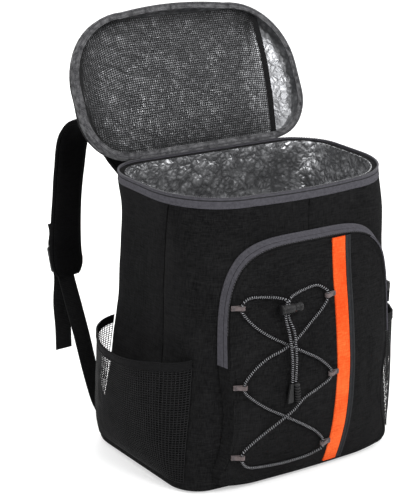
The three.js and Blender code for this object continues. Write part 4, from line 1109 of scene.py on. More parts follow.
def lid_crease(p, grow):
    """Height of the lid tape's creases: short folds across it and a slow wave along it."""
    short = noise.noise(Vector((p.x / 5, p.y / 5, grow / 7)))
    slow = noise.noise(Vector((p.x / 17, p.y / 17, grow / 12)))
    return 0.9 * short + 0.7 * slow


def build_lid_tape():
    def creased(z, grow, share):
        ring = even_ring(LID_SECTION, z, grow, LID_TAPE_POINTS)
        return [LID_PLACE @ (p + Vector((0, LID_MIDDLE, share * lid_crease(p, grow)))) for p in ring]

    rings = [creased(z, grow, share) for z, grow, share in LID_TAPE_ROWS]
    set_in_place(loft("lid_tape", rings, LIP_GREY, looped=True), "zip_tape", "lid_zip_tape")
    stitch = lid_ring(-LIP_BELOW - 0.15, -LID_LIP + 1.8)
    grey_seams.append(back_to_start(stitch))
    teeth = lid_ring(-LIP_BELOW - TOOTH_RADIUS * 0.3, -2.3)
    return [back_to_start(teeth)]


MESH_INSET = LID_SIDE_WALL + TAPE_THICKNESS + LINER + 5 * SEAT
MESH_LEFT = -LID_WIDTH / 2 + MESH_INSET
MESH_SEAT = LID_EDGE + SEAT + LID_MESH_THICKNESS


def lid_net_point(x, share, lift=0.0):
    """A point of the lid's net: share runs from the hinge to the far edge, lift goes into the lid."""
    x += LID_MESH_LEAN * share * (x - MESH_LEFT) / (LID_MESH_RIGHT - MESH_LEFT)

    def limit(corner):
        past = abs(x) - (LID_WIDTH / 2 - corner)
        radius = corner - MESH_INSET
        drop = radius - math.sqrt(max(radius ** 2 - past ** 2, 0)) if past > 0 else 0
        return LID_DEPTH / 2 - MESH_INSET - drop

    near, far = LID_MIDDLE + limit(LID_HINGE_CORNER), LID_MIDDLE - limit(LID_FAR_CORNER)
    side = min((x - MESH_LEFT) / (0.25 * LID_WIDTH), 1)
    swell = LID_MESH_BULGE * math.sin(math.pi * share) * math.sin(math.pi / 2 * side)
    swell *= 1 + 0.12 * noise.noise(Vector((x / 45, share * 4, 0)))
    return LID_PLACE @ Vector((x, mix(near, far, share), MESH_SEAT - swell + lift))


def flat_size(grid):
    """A net's width and height in metres along its surface: the mean runs across its grid and up it."""
    rows = list(zip(*grid))
    width = sum(run_lengths(row)[-1] for row in rows) / len(rows)
    height = sum(run_lengths(column)[-1] for column in grid) / len(grid)
    return width * MM, height * MM


def build_lid_pocket():
    binding_left = LID_MESH_RIGHT - LID_BINDING_WIDTH
    columns = round((binding_left - MESH_LEFT) / NET_PITCH)
    rows = round((LID_DEPTH - 2 * MESH_INSET) / NET_PITCH)

    def net_point(column, row):
        x = mix(MESH_LEFT + SEAT, binding_left + 1, column / columns)
        return lid_net_point(x, row / rows, LID_MESH_THICKNESS / 2)

    grid = grid_of(columns, rows, net_point)
    net = NET.run("lid_net", *grid_drawing(grid), NET_BLACK)
    set_in_place(net, "mesh", "lid_mesh_pocket")
    flat_size(grid)
    places = [(0, 0.6), (0.15, 0.1), (0.5, -0.25), (0.85, 0.1), (1, 0.6)]

    def strip(lifts):
        return [
            [lid_net_point(mix(binding_left, LID_MESH_RIGHT, share), r / 30, lift) for r in range(31)]
            for share, lift in lifts
        ]

    outer = strip(places)
    inner = strip([(share, 2 * LID_MESH_THICKNESS - max(lift, 0)) for share, lift in places])
    set_in_place(sheet("lid_net_binding", outer, inner, BINDING_AND_SHADE, 50), "binding", "lid_pocket_binding")
    for share in (0.25, 0.8):
        x = mix(binding_left, LID_MESH_RIGHT, share)
        black_seams.append([lid_net_point(x, r / 50, -0.1) for r in range(51)])


def build_hinge():
    """Gathered cloth from the body's back up and over to the lid."""
    opening = math.radians(LID_OPEN)
    back = RIM_DEPTH / 2 + SEAT
    half = HINGE_THICKNESS / 2
    foot_y = body_section(BODY_HEIGHT - HINGE_LEG)["depth"] / 2 + SEAT + half
    fold = Vector((0, back + half, BODY_HEIGHT - SEAT))
    along = Vector((0, math.sin(opening), math.cos(opening)))
    middle = [
        Vector((0, foot_y, BODY_HEIGHT - HINGE_LEG)), Vector((0, back + half, BODY_HEIGHT - 4)),
        fold + Vector((0, half, 1)), fold + along * (HINGE_LEG * 0.5) + Vector((0, 0, -1)),
        fold + along * HINGE_LEG,
    ]
    line = smooth_path(middle, 2)
    outer, inner = [], []
    columns = 150
    for column in range(columns + 1):
        x = mix(-HINGE_WIDTH / 2, HINGE_WIDTH / 2, column / columns)
        gather = 0.9 * math.sin(x / 3.1 + 2 * noise.noise(Vector((x / 18, 0, 0))))
        up, down = [], []
        for k, p in enumerate(line):
            share = k / (len(line) - 1)
            run = run_at(line, k)
            out = Vector((0, -run.z, run.y))
            wave = gather * math.sin(math.pi * share) * (1 + noise.noise(Vector((x / 12, share * 3, 4))))
            at = p + Vector((x, 0, 0)) + out * wave
            up.append(at + out * half * 0.8)
            down.append(at - out * half * 0.8)
        outer.append(up)
        inner.append(down)
    hinge = set_in_place(sheet("hinge_cloth", outer, inner, LIP_GREY), "zip_tape", "lid_cloth_hinge")


# Front pocket
# height and width: shares of POCKET_HEIGHT and POCKET_HALF_WIDTH, below the arch.
POCKET_SIDES = [
    {"height": 0.475, "width": 1},
    {"height": 0.38, "width": 0.97},
    {"height": 0.27, "width": 0.95},
    {"height": 0.15, "width": 1},
    {"height": 0.07, "width": 1.07},
    {"height": 0.022, "width": 1.05},
    {"height": 0.012, "width": 0.96},
]
# height: share of POCKET_HEIGHT. depth: share of POCKET_DEPTH that the gusset stands out of the body.
POCKET_GUSSET = [
    {"height": 0, "depth": 0.15},
    {"height": 0.08, "depth": 0.55},
    {"height": 0.2, "depth": 0.85},
    {"height": 0.45, "depth": 1},
    {"height": 0.65, "depth": 0.75},
    {"height": 0.8, "depth": 0.6},
    {"height": 1, "depth": 0.65},
]
ARCH_STEPS = 72
POCKET_MIDDLE = Vector((0, 0, POCKET_HEIGHT / 2))


def pocket_outline():
    """The pocket's outline in its own plane, from the right side over the arch and back below."""
    foot = POCKET_HEIGHT - POCKET_ARCH_HEIGHT

    def superellipse(value):
        return math.copysign(abs(value) ** (2 / POCKET_ARCH_POWER), value)

    angles = [math.pi * k / ARCH_STEPS for k in range(ARCH_STEPS + 1)]
    arch = [
        Vector((
            POCKET_HALF_WIDTH * superellipse(math.cos(a)), 0,
            foot + POCKET_ARCH_HEIGHT * superellipse(max(math.sin(a), 0)),
        ))
        for a in angles
    ]
    rows = [
        Vector((row["width"] * POCKET_HALF_WIDTH, 0, mix(POCKET_HEM, POCKET_HEIGHT, row["height"])))
        for row in POCKET_SIDES
    ]
    left = [Vector((-p.x, 0, p.z)) for p in rows]
    below = [Vector((mix(left[-1].x, rows[-1].x, k / 8), 0, POCKET_HEM)) for k in range(1, 8)]
    return arch + smooth_path([arch[-1], *left, *below, *rows[::-1], arch[0]], 5)[1:-1]


OUTLINE = pocket_outline()


def seam_point(edge):
    """The point of the face's seam that belongs to a point of the outline."""
    top = max((edge.z - POCKET_HEIGHT + POCKET_ARCH_HEIGHT) / POCKET_ARCH_HEIGHT, 0)
    return Vector((edge.x * (1 - GUSSET_SIDE_INSET / POCKET_HALF_WIDTH), 0, edge.z - GUSSET_TOP_INSET * top))


FACE_SEAM = [seam_point(edge) for edge in OUTLINE]


def by_angle(line):
    """How far the outline is from its middle, by the angle seen from there."""
    rows = [
        {"angle": math.atan2(p.z - POCKET_MIDDLE.z, p.x), "reach": (p - POCKET_MIDDLE).length} for p in line
    ]
    rows.sort(key=lambda row: row["angle"])
    turn = 2 * math.pi
    before = dict(rows[-1], angle=rows[-1]["angle"] - turn)
    after = dict(rows[0], angle=rows[0]["angle"] + turn)
    return [before, *rows, after]


SEAM_REACHES = by_angle(FACE_SEAM)


def face_share(x, z):
    """How far (x, z) is from the face's middle, as a share of the way to its seam."""
    across, up = x - POCKET_CENTRE, z - POCKET_MIDDLE.z
    return math.hypot(across, up) / table_at(SEAM_REACHES, "angle", math.atan2(up, across), "reach")


def face_depth(share, z):
    """How far out of the body the face stands at a share of the way from its middle to its seam."""
    height = clamp(z / POCKET_HEIGHT)
    gusset = POCKET_DEPTH * eased(POCKET_GUSSET, "height", height, "depth", 0.04)
    swell = math.sin(math.pi * mix(0.16, 0.96, height))
    return gusset + POCKET_DOME * (1 - min(share, 1) ** 3) * swell


def pocket_front(x, z):
    return body_front(x, z) - SEAT - POCKET_WALL - face_depth(face_share(x, z), z)


def face_point(x, z, lift):
    """A point at lift in front of the pocket's face."""
    return Vector((x, pocket_front(x, z) - lift, z))


def pocket_ring(line, share=1.0, inset=0.0):
    """An outline drawn in by inset, or out, and scaled by share about its middle."""
    ring = []
    for edge in line:
        spoke = edge - POCKET_MIDDLE
        at = POCKET_MIDDLE + spoke * (share * (spoke.length - inset) / spoke.length)
        ring.append(Vector((at.x + POCKET_CENTRE, 0, at.z)))
    return ring


def on_body(ring):
    return [Vector((p.x, body_front(p.x, p.z) - SEAT, p.z)) for p in ring]


def face_dent(p, share):
    """Slow puckers that run in from the seam, and the seam's own groove."""
    edge = math.exp(-(((share - 0.965) / 0.012) ** 2))
    pucker = noise.noise(Vector((p.x / 24, 0, p.z / 60))) + 0.5 * noise.noise(Vector((p.x / 11, 3, p.z / 20)))
    near_stripe = clamp((STRIPE_LEFT - 6 - p.x) / 12) + clamp((p.x - PIPING_LEFT - 8) / 12)
    return 0.9 * edge + clamp(1.3 * (0.35 + pucker), 0, 2.2) * near_stripe * clamp((1 - share) / 0.06, 0.15)


FACE_SHARES = [
    1, 0.992, 0.983, 0.975, 0.965, 0.955, 0.945, 0.93, 0.91, 0.88, 0.84, 0.8, 0.75, 0.7, 0.65, 0.6, 0.55, 0.5,
    0.45, 0.4, 0.35, 0.3, 0.25, 0.2, 0.15, 0.1, 0.05,
]
GUSSET_SHARES = [k / 9 for k in range(1, 9)]


def build_pocket():
    face = []
    for share in FACE_SHARES:
        ring = pocket_ring(FACE_SEAM, share)
        face.append([
            Vector((p.x, pocket_front(p.x, p.z) + face_dent(p, share), p.z)) for p in ring
        ])
    rim = on_body(pocket_ring(OUTLINE))
    gusset = []
    for share in GUSSET_SHARES:
        sag = 1.2 * math.sin(math.pi * share)
        row = []
        for a, b in zip(rim, face[0]):
            p = a.lerp(b, share)
            inward = (POCKET_MIDDLE + Vector((POCKET_CENTRE, p.y, 0)) - p).normalized()
            fold = clamp(0.5 + 1.6 * noise.noise(Vector((p.x / 9, p.y / 14, p.z / 9))))
            row.append(p + inward * sag * fold)
        gusset.append(row)
    inside = []
    for share in (1, 0.9, 0.68, 0.42, 0.17):
        ring = pocket_ring(FACE_SEAM, share, POCKET_WALL)
        inside.append([Vector((p.x, pocket_front(p.x, p.z) + POCKET_WALL + 1, p.z)) for p in ring])
    rings = inside[::-1] + [on_body(pocket_ring(OUTLINE, 1, POCKET_WALL)), rim] + gusset + face
    set_in_place(loft("pocket_cloth", rings, FABRIC), "body_fabric", "front_pocket")
    for share in (0.945, 0.983):
        line = pocket_ring(FACE_SEAM, share)[ARCH_STEPS + 2:-2]
        black_seams.append([face_point(p.x, p.z, -0.1 - 0.2 * (share < 0.96)) for p in line])


# share: of the way from the body to the face. lift: how far the surface stands off the tape's own.
POCKET_TAPE_ROWS = [
    (0.0, -0.3), (0.03, 0.15), (0.1, 0.2), (0.13, 0.0), (0.2, 0.15), (0.34, 0.1), (0.45, 0.15), (0.49, 0.1),
    (0.51, -0.45), (0.55, -0.45), (0.57, 0.1), (0.6, 0.15), (0.75, 0.05), (0.88, 0.15), (0.91, 0.0),
    (0.94, 0.2), (0.96, -0.6), (1.0, 0.0),
]
# Shares of the tape's width that take the near-black binding finish: the zip's groove, partly its coil and
# partly painted shade, and painted shade along the tape's edge at the face's seam.
POCKET_TAPE_GROOVE = (0.49, 0.57)
POCKET_TAPE_SEAM_SHADE = (0.86, 0.97)
POCKET_TAPE_RIGHT = 0.3


def build_pocket_tape():
    def arch(line, inset):
        return pocket_ring(line, 1, inset)[:ARCH_STEPS + 1]

    fronts = [pocket_front(p.x, p.z) for p in arch(FACE_SEAM, 0)]

    def grid(side, lift, scale):
        body = on_body(arch(OUTLINE, -side))
        face = [Vector((p.x, y - lift, p.z)) for p, y in zip(arch(FACE_SEAM, -side), fronts)]
        columns = []
        for k, (a, b) in enumerate(zip(body, face)):
            out = (a - POCKET_MIDDLE - Vector((POCKET_CENTRE, a.y, 0))).normalized()
            ripple = 0.35 * noise.noise(Vector((k / 4, side, 0)))
            columns.append([
                a.lerp(b, share) + out * scale * (rise + ripple * math.sin(math.pi * share))
                for share, rise in POCKET_TAPE_ROWS
            ])
        return columns

    outer = grid(2 * SEAT + FRONT_TAPE_THICKNESS, FRONT_TAPE_THICKNESS / 2, 1)
    tape = sheet("pocket_tape", outer, grid(2 * SEAT, 0, 0), TAPE_GREY, 60)
    width = run_lengths(outer[len(outer) // 2])[-1] * MM
    length = run_lengths([column[len(column) // 2] for column in outer])[-1] * MM

    def is_painted_shade(across, along):
        share = along / width
        on_right = across < POCKET_TAPE_RIGHT * length
        in_groove = POCKET_TAPE_GROOVE[0] < share < POCKET_TAPE_GROOVE[1]
        return in_groove or share > POCKET_TAPE_SEAM_SHADE[0] and not (on_right and share > POCKET_TAPE_SEAM_SHADE[1])

    two_tone(tape, BINDING_AND_SHADE, is_painted_shade)
    set_in_place(tape, "zip_tape", "front_pocket_zip_tape")
    for row in (3, -3):
        grey_seams.append([column[row] for column in outer[2:-2]])


# across: share of a band's width. lift: share of its thickness.
BAND_ROWS = [
    (0.0, 0.0), (0.02, 0.55), (0.07, 0.85), (0.13, 0.75), (0.3, 0.95), (0.5, 1.0), (0.7, 0.95),
    (0.87, 0.75), (0.93, 0.85), (0.98, 0.55), (1.0, 0.0),
]
BEAD_ROWS = [
    (0.0, 0.1), (0.04, 0.3), (0.5, 0.34), (0.56, 0.3), (0.6, 0.5), (0.66, 0.8), (0.74, 0.97),
    (0.82, 1.0), (0.9, 0.8), (0.96, 0.5), (1.0, 0.1),
]
SEAM_STRIP_WIDTH = 7.5


def face_band(name, left, width, thickness, finish, rows):
    """A flat band that runs up the pocket's face."""
    low, high, steps = POCKET_HEM + 4, POCKET_HEIGHT - GUSSET_TOP_INSET - 1, 90
    heights = [mix(low, high, k / steps) for k in range(steps + 1)]

    def grid(lift):
        return [
            [face_point(left + share * width, z, BAND_SEAT + lift(rise)) for z in heights]
            for share, rise in rows
        ]

    return sheet(name, grid(lambda rise: rise * thickness), grid(lambda rise: -1.2), finish)


def build_bands():
    stripe = face_band("orange_stripe", STRIPE_LEFT, STRIPE_WIDTH, STRIPE_THICKNESS, ORANGE, BAND_ROWS)
    set_in_place(stripe, "stripe", "stripe")
    strip_left = PIPING_LEFT + PIPING_WIDTH - SEAM_STRIP_WIDTH
    piping = face_band(
        "pocket_piping_cord", strip_left, SEAM_STRIP_WIDTH, PIPING_THICKNESS, SEAM_CLOTH, BEAD_ROWS,
    )
    set_in_place(piping, "piping", "pocket_piping")


# Cord loops. side is 1 where the tip points to +X.
LEFT_LOOP_X = POCKET_CENTRE - POCKET_HALF_WIDTH + GUSSET_SIDE_INSET + 2
RIGHT_LOOP_X = STRIPE_LEFT - 2 * SEAT
LOOPS = {
    "left_1": (LEFT_LOOP_X, 228, 1),
    "left_2": (LEFT_LOOP_X, 135, 1),
    "left_3": (LEFT_LOOP_X, 48, 1),
    "right_1": (RIGHT_LOOP_X, 226, -1),
    "right_2": (RIGHT_LOOP_X, 133, -1),
    "right_3": (RIGHT_LOOP_X, 41, -1),
}
LOOP_RADIUS = CORD_DIAMETER / 2 + CORD_CLEARANCE + LOOP_WALL
LOOP_EYE = LOOP_LENGTH - LOOP_RADIUS


# A ribbon's section as shares of its half width and half thickness
RIBBON = turned_over([(-1, -0.5), (-0.93, -1), (-0.5, -1), (0, -1), (0.5, -1), (0.93, -1), (1, -0.5)])
loop_seams = []


def loop_frame(name):
    """A loop's sewn end, and how its own point (along, out, up) turns into a place."""
    x, z, side = LOOPS[name]
    base = face_point(x, z, LOOP_SEAT)
    tip = face_point(x + side * LOOP_LENGTH, z, LOOP_SEAT)
    lean = Matrix.Rotation(math.atan((tip.y - base.y) / (tip.x - base.x)), 3, "Z")
    return lambda along, out, up: base + lean @ Vector((side * along, -out, up))


def build_loops():
    bend = LOOP_RADIUS - LOOP_WALL / 2
    half = LOOP_WALL / 2
    for name in LOOPS:
        place = loop_frame(name)
        route = [(0, half), (LOOP_EYE * 0.5, half), (LOOP_EYE, half)]
        for k in range(1, 9):
            angle = math.pi * k / 8
            route.append((LOOP_EYE + bend * math.sin(angle), LOOP_RADIUS - bend * math.cos(angle)))
        route += [(LOOP_EYE * 0.72, 4.6), (LOOP_EYE * 0.42, 2.6), (LOOP_EYE * 0.2, 2.15), (0, 2.1)]
        rings = []
        for k, (along, out) in enumerate(route):
            before, after = route[max(k - 1, 0)], route[min(k + 1, len(route) - 1)]
            run = Vector((after[0] - before[0], after[1] - before[1])).normalized()
            ring = []
            for a, b in RIBBON:
                shift = b * half * 0.96
                narrow = mix(0.8, 0.68, clamp(along / LOOP_EYE))
                ring.append(place(along - run.y * shift, out + run.x * shift, a * narrow * LOOP_WIDTH / 2))
            rings.append(ring)
        piece = loft(f"webbing_loop_{name}", rings, LOOP_GREY)
        set_in_place(piece, "loop_webbing", f"cord_loop_{name}")
        for along in (1.2, 2.4, 3.6):
            loop_seams.append([place(along, 2.95, up) for up in (-2.3, -1.2, 0, 1.2, 2.3)])


# Elastic cord, its lock and its end
LOCK_PLACE = face_point(LOCK_X, LOCK_Z, LOCK_RADIUS + SEAT + LOOP_SEAT)
CORD_APART = CORD_DIAMETER / 2 + 0.6
REST = 2.2
OVER = 5.8
# Rows are (x, z, lift) on the pocket's face, ("loop", name, direction) or ("lock", slot).
CORD_ROUTE = [
    ("lock", -1), (-58, 235, 6), (-75, 237, 2.8), (-91, 238, 3),
    ("loop", "left_1", -1),
    (-87, 205, REST), (-67, 190, REST), (-44, 177, REST), (-22, 165, REST), (0, 152, REST),
    ("loop", "right_2", -1),
    (0, 119, REST), (-23, 109, REST), (-40, 99, OVER), (-58, 88, OVER), (-80, 71, REST),
    ("loop", "left_3", -1),
    (-91, 32, REST), (-59, 27, REST), (-21, 26, REST), (0, 28, REST),
    ("loop", "right_3", 1),
    (2, 59, REST), (-18, 73, REST), (-48, 91, REST), (-74, 106, REST), (-90, 118, REST),
    ("loop", "left_2", 1),
    (-90, 153, REST), (-72, 166, REST), (-56, 174, OVER), (-36, 184, OVER), (-10, 200, REST), (4, 210, REST),
    ("loop", "right_1", 1),
    (2, 239, REST), (-16, 238, REST), (-36, 235, 6), ("lock", 1),
]
TAIL_ROUTES = {
    "cord_tail_1": [
        ("lock", -1), (-49, 196, 10.4), (-47, 180, 10.4), (-45.5, 165, 9.6), (-44, 148, 7), (-43.2, 133, 5),
    ],
    "cord_tail_2": [
        ("lock", 1), (-42, 196, 10.4), (-41, 180, 10.4), (-40, 165, 9.6), (-39, 148, 7), (-38.8, 133, 5),
    ],
}


def route_points(route):
    """The places that a cord's rows stand for, in order."""
    above = 1 if route is CORD_ROUTE else -1
    points = []
    for k, row in enumerate(route):
        if row[0] == "loop":
            eye = loop_frame(row[1])(LOOP_EYE, LOOP_RADIUS, 0)
            points += [eye + Vector((0, 0, end * row[2] * (LOOP_WIDTH / 2 + 1.2))) for end in (-1, 0, 1)]
        elif row[0] == "lock":
            slot = LOCK_PLACE + Vector((row[1] * CORD_APART, 0, 0))
            ends = [slot + Vector((0, 0, above * up)) for up in (SEAT, LOCK_RADIUS + CORD_DIAMETER)]
            points += ends if k == 0 else ends[::-1]
        else:
            points.append(face_point(*row))
    return points


def tube(name, path, radius, finish, sides=12):
    rings = []
    for k, p in enumerate(path):
        run = run_at(path, k)
        across = Vector((0, -1, 0)).cross(run).normalized()
        out = run.cross(across)
        rings.append([p + across * a * radius + out * b * radius for a, b in circle(sides)])
    return loft(name, rings, finish)


def build_cords():
    lacing = tube("laced_cord", smooth_path(route_points(CORD_ROUTE), 2), CORD_DIAMETER / 2, BRAID)
    set_in_place(lacing, "elastic_cord", "lacing_cord")
    tails = {}
    for name, route in TAIL_ROUTES.items():
        path = smooth_path(route_points(route), 2)
        tails[name] = (tube(f"{name}_cover", path, CORD_DIAMETER / 2, BRAID), path)
        set_in_place(tails[name][0], "elastic_cord", name)
    return tails


def lathe(name, profile, start, finish, steps=48):
    """A turned piece whose axis runs along +X from start; profile rows are (along, radius)."""
    rings = []
    for along, radius in profile:
        rings.append([start + Vector((along, radius * a, radius * b)) for a, b in circle(steps)])
    return loft(name, rings, finish, sharp=50)


# down: share of CORD_END_LENGTH. wide and thick: shares of CORD_END_WIDTH and CORD_END_THICKNESS.
TAG_ROWS = [
    {"down": 0, "wide": 0.3, "thick": 0.3},
    {"down": 0.04, "wide": 0.4, "thick": 0.44},
    {"down": 0.12, "wide": 0.42, "thick": 0.46},
    {"down": 0.88, "wide": 0.72, "thick": 0.4},
    {"down": 0.95, "wide": 0.72, "thick": 0.36},
    {"down": 1, "wide": 0.62, "thick": 0.2},
]


def build_tag(top):
    """The flat half of the cord end, hanging a little outwards."""
    rings = []
    for row in TAG_ROWS:
        down = row["down"] * CORD_END_LENGTH
        middle = top + Vector((-3.4 - 0.02 * down, 0, -down))
        half_wide, half_thick = row["wide"] * CORD_END_WIDTH / 2, row["thick"] * CORD_END_THICKNESS / 2
        rings.append([middle + Vector((a * half_wide, b * half_thick, 0)) for a, b in RIBBON])
    return loft("cord_pull_tag", rings, SOFT_PLASTIC, sharp=50)


def build_grip(top):
    """The ribbed half of the cord end."""
    rings = []
    steps = 60
    for k in range(steps + 1):
        share = k / steps
        rib = CORD_END_RIB * (math.sin(2 * math.pi * share * CORD_END_RIBS) > 0) * (0.14 < share < 0.94)
        cap = math.sqrt(1 - clamp((share - 0.9) / 0.1) ** 2 * 0.7) * min(0.7 + share * 5, 1)
        radius = CORD_END_THICKNESS / 2 * 1.2 * cap * (1 - rib)
        middle = top + Vector((3.6 + 3.2 * share, 0, -CORD_END_LENGTH * share))
        rings.append([middle + Vector((radius * a, radius * b, 0)) for a, b in circle(24)])
    return loft("cord_pull_grip", rings, SOFT_PLASTIC, sharp=50)


def build_lock(tails):
    half = LOCK_LENGTH / 2
    r = LOCK_RADIUS * LOCK_SLIM
    barrel = [
        (-half, r * 0.78), (-half + 0.4, r * 0.9), (-half + 1.2, r), (-half + 3, r), (-half + 3.6, r * 0.9),
        (-half + 4.4, r * 0.9), (-half + 5, r * 0.97), (half - 2.4, r * 0.97), (half - 1.8, r * 0.9),
        (half - 1.2, r * 0.9), (half - 0.8, r), (half - 0.2, r), (half, r * 0.95), (half, r * 0.8),
        (half - 1, r * 0.76),
    ]
    set_in_place(lathe("lock_barrel", barrel, LOCK_PLACE, PLASTIC), "black_plastic", "cord_lock")
    b, f = BUTTON_RADIUS * LOCK_SLIM, BUTTON_FLANGE * LOCK_SLIM
    button = [
        (-0.9, b * 0.7), (-0.8, b * 0.94), (3.2, b * 0.94), (4.2, b), (5.2, f * 0.97), (5.8, f), (8.2, f),
        (8.9, f * 0.96), (9.3, f * 0.86), (9, f * 0.6), (9.2, f * 0.3),
    ]
    start = LOCK_PLACE + Vector((half + SEAT, 0, 0))
    set_in_place(lathe("lock_button", button, start, PLASTIC), "black_plastic", "cord_lock_button")

    top = face_point(-41, 133 - 2 * SEAT, 5)
    ends = [
        set_in_place(piece, "cord_end_plastic", "cord_end") for piece in (build_tag(top), build_grip(top))
    ]
    for end, (piece, path) in zip(ends, tails.values()):
        length = run_lengths(path)[-1] * MM
        path[0] * MM
        [p * MM for p in path]


# Side pockets
# rise: from the pocket's hem to its top edge. bulge: share of SIDE_POCKET_BULGE.
SIDE_POCKET_ROWS = [
    {"rise": 0, "bulge": 0},
    {"rise": 0.03, "bulge": 0.16},
    {"rise": 0.14, "bulge": 0.42},
    {"rise": 0.32, "bulge": 0.66},
    {"rise": 0.6, "bulge": 0.86},
    {"rise": 1, "bulge": 1},
]
SIDE_NET_COLUMNS = 62
SIDE_NET_ROWS = 47
SIDE_NET_LIFT = 0.75
# share of the binding's height, and of its thickness
SIDE_BINDING_ROWS = [
    (0.0, 0.4), (0.03, 0.85), (0.12, 1.0), (0.2, 0.8), (0.5, 1.0), (0.8, 0.8), (0.9, 1.0), (0.97, 0.85),
    (1.0, 0.4),
]


def side_path(z, share, grow):
    """The body's left side at height z, from the back corner to the front corner, grown outwards."""
    section = body_section(z)
    width, depth, front, back = (section[key] for key in ("width", "depth", "front", "back"))
    straight = depth - front - back
    back_arc = back * math.radians(SIDE_BACK_ANGLE)
    front_arc = front * math.radians(SIDE_FRONT_ANGLE)
    along = share * (back_arc + straight + front_arc)
    if along < back_arc:
        angle = math.radians(SIDE_BACK_ANGLE) - along / back
        x, y, radius, turn = -(width / 2 - back), depth / 2 - back, back + grow, angle
    elif along < back_arc + straight:
        return Vector((-width / 2 - grow, depth / 2 - back - (along - back_arc), z))
    else:
        angle = -(along - back_arc - straight) / front
        x, y, radius, turn = -(width / 2 - front), -depth / 2 + front, front + grow, angle
    return Vector((x - radius * math.cos(turn), y + radius * math.sin(turn), z))


def side_pocket_point(side, share, rise, lift):
    """share runs from the back seam to the front seam, and rise from the hem to the top edge."""
    top = SIDE_POCKET_TOP - SIDE_POCKET_DIP * math.sin(math.pi * share)
    z = mix(SIDE_POCKET_BOTTOM, top, rise)
    belly = (1 - abs(2 * share - 1) ** 2.4) * SIDE_POCKET_BULGE
    belly *= eased(SIDE_POCKET_ROWS, "rise", rise, "bulge", 0.03)
    sag = noise.noise(Vector((share * 5, rise * 3, side)))
    sag += 0.5 * noise.noise(Vector((share * 13, rise * 5, side)))
    slack = -2.2 * clamp(0.4 + sag) * math.sin(math.pi * share) * math.sin(math.pi * rise) ** 0.5
    p = side_path(z, share, 2 * SEAT + lift + belly + slack)
    return on_side(side, p)


def build_side_pocket(name, side):
    binding_foot = 1 - SIDE_BINDING_HEIGHT / (SIDE_POCKET_TOP - SIDE_POCKET_BOTTOM)

    def net_point(column, row):
        rise = mix(0, binding_foot + 0.01, row / SIDE_NET_ROWS)
        return side_pocket_point(side, column / SIDE_NET_COLUMNS, rise, SIDE_NET_LIFT)

    grid = grid_of(SIDE_NET_COLUMNS, SIDE_NET_ROWS, net_point)
    net = NET.run(f"{name}_side_net", *grid_drawing(grid), NET_BLACK)
    set_in_place(net, "mesh", f"{name}_mesh_pocket")
    flat_size(grid)
    columns = 90

    def strip(scale, deep):
        return [
            [side_pocket_point(side, c / columns, mix(binding_foot, 1, up), lift * scale + deep)
             for up, lift in SIDE_BINDING_ROWS] for c in range(columns + 1)
        ]

    binding = sheet(f"{name}_side_binding", strip(SIDE_BINDING_THICKNESS, 0), strip(0, 0.2), BINDING_AND_SHADE)
    set_in_place(binding, "binding", f"{name}_pocket_binding")
    for up in (0.2, 0.8):
        black_seams.append([
            side_pocket_point(side, c / columns, mix(binding_foot, 1, up), 0.85 * SIDE_BINDING_THICKNESS)
            for c in range(columns + 1)
        ])


# Back panel
BACK_LEAN = math.atan((BASE_DEPTH - RIM_DEPTH) / 2 / BODY_HEIGHT)
BACK_PAD_COLUMNS = 66
BACK_PAD_ROWS = 84
BACK_BORDER = 8
BACK_CHANNELS = (-52, 0, 52)


def back_at(z):
    return body_section(z)["depth"] / 2 + 2 * SEAT


def build_back_panel():
    """A pad with a stitched border and three sewn channels down it."""
    height = BACK_PANEL_TOP - BACK_PANEL_BOTTOM
    foot = Matrix.Translation((0, back_at(BACK_PANEL_BOTTOM), BACK_PANEL_BOTTOM))
    place = foot @ Matrix.Rotation(BACK_LEAN, 4, "X")
    outer, inner = [], []
    for c in range(BACK_PAD_COLUMNS + 1):
        front, back = [], []
        for r in range(BACK_PAD_ROWS + 1):
            across, up = 2 * c / BACK_PAD_COLUMNS - 1, 2 * r / BACK_PAD_ROWS - 1
            corner = BACK_PANEL_CORNER
            x, z = across * BACK_PANEL_WIDTH / 2, (up + 1) * height / 2
            past_x = max(abs(x) - (BACK_PANEL_WIDTH / 2 - corner), 0)
            past_z = max(abs(z - height / 2) - (height / 2 - corner), 0)
            if past_x and past_z:
                far = max(past_x, past_z)
                scale = far / math.hypot(past_x, past_z)
                x -= math.copysign(past_x * (1 - scale), x)
                z -= math.copysign(past_z * (1 - scale), z - height / 2)
            edge = min(BACK_PANEL_WIDTH / 2 * (1 - abs(across)), height / 2 * (1 - abs(up)))
            puff = clamp(0.3 + edge / 3) if edge < BACK_BORDER else 1
            border = 0.45 * math.exp(-(((edge - BACK_BORDER) / 2.2) ** 2))
            channel = sum(0.42 * math.exp(-(((x - at) / 4) ** 2)) for at in BACK_CHANNELS)
            channel *= clamp((edge - 12) / 8)
            swell = 0.06 * noise.noise(Vector((x / 40, z / 40, 2)))
            thick = BACK_PANEL_THICKNESS * (puff - border - channel + swell)
            front.append(place @ Vector((x, thick, z)))
            back.append(place @ Vector((x, 0, z)))
        outer.append(front)
        inner.append(back)
    panel = set_in_place(sheet("back_pad", outer, inner, SPACER), "back_mesh", "back_panel")


# Shoulder straps, drawn for the left one: off the middle, behind the pad's foot and above it, and the
# angle in degrees of the band's width from +X, seen from above.
STRAP_FOOT_Y = back_at(STRAP_FOOT_Z) + BACK_PANEL_THICKNESS + 2 * SEAT


def strap_point(off, behind, above):
    return Vector((off, STRAP_FOOT_Y + behind, STRAP_FOOT_Z + above))


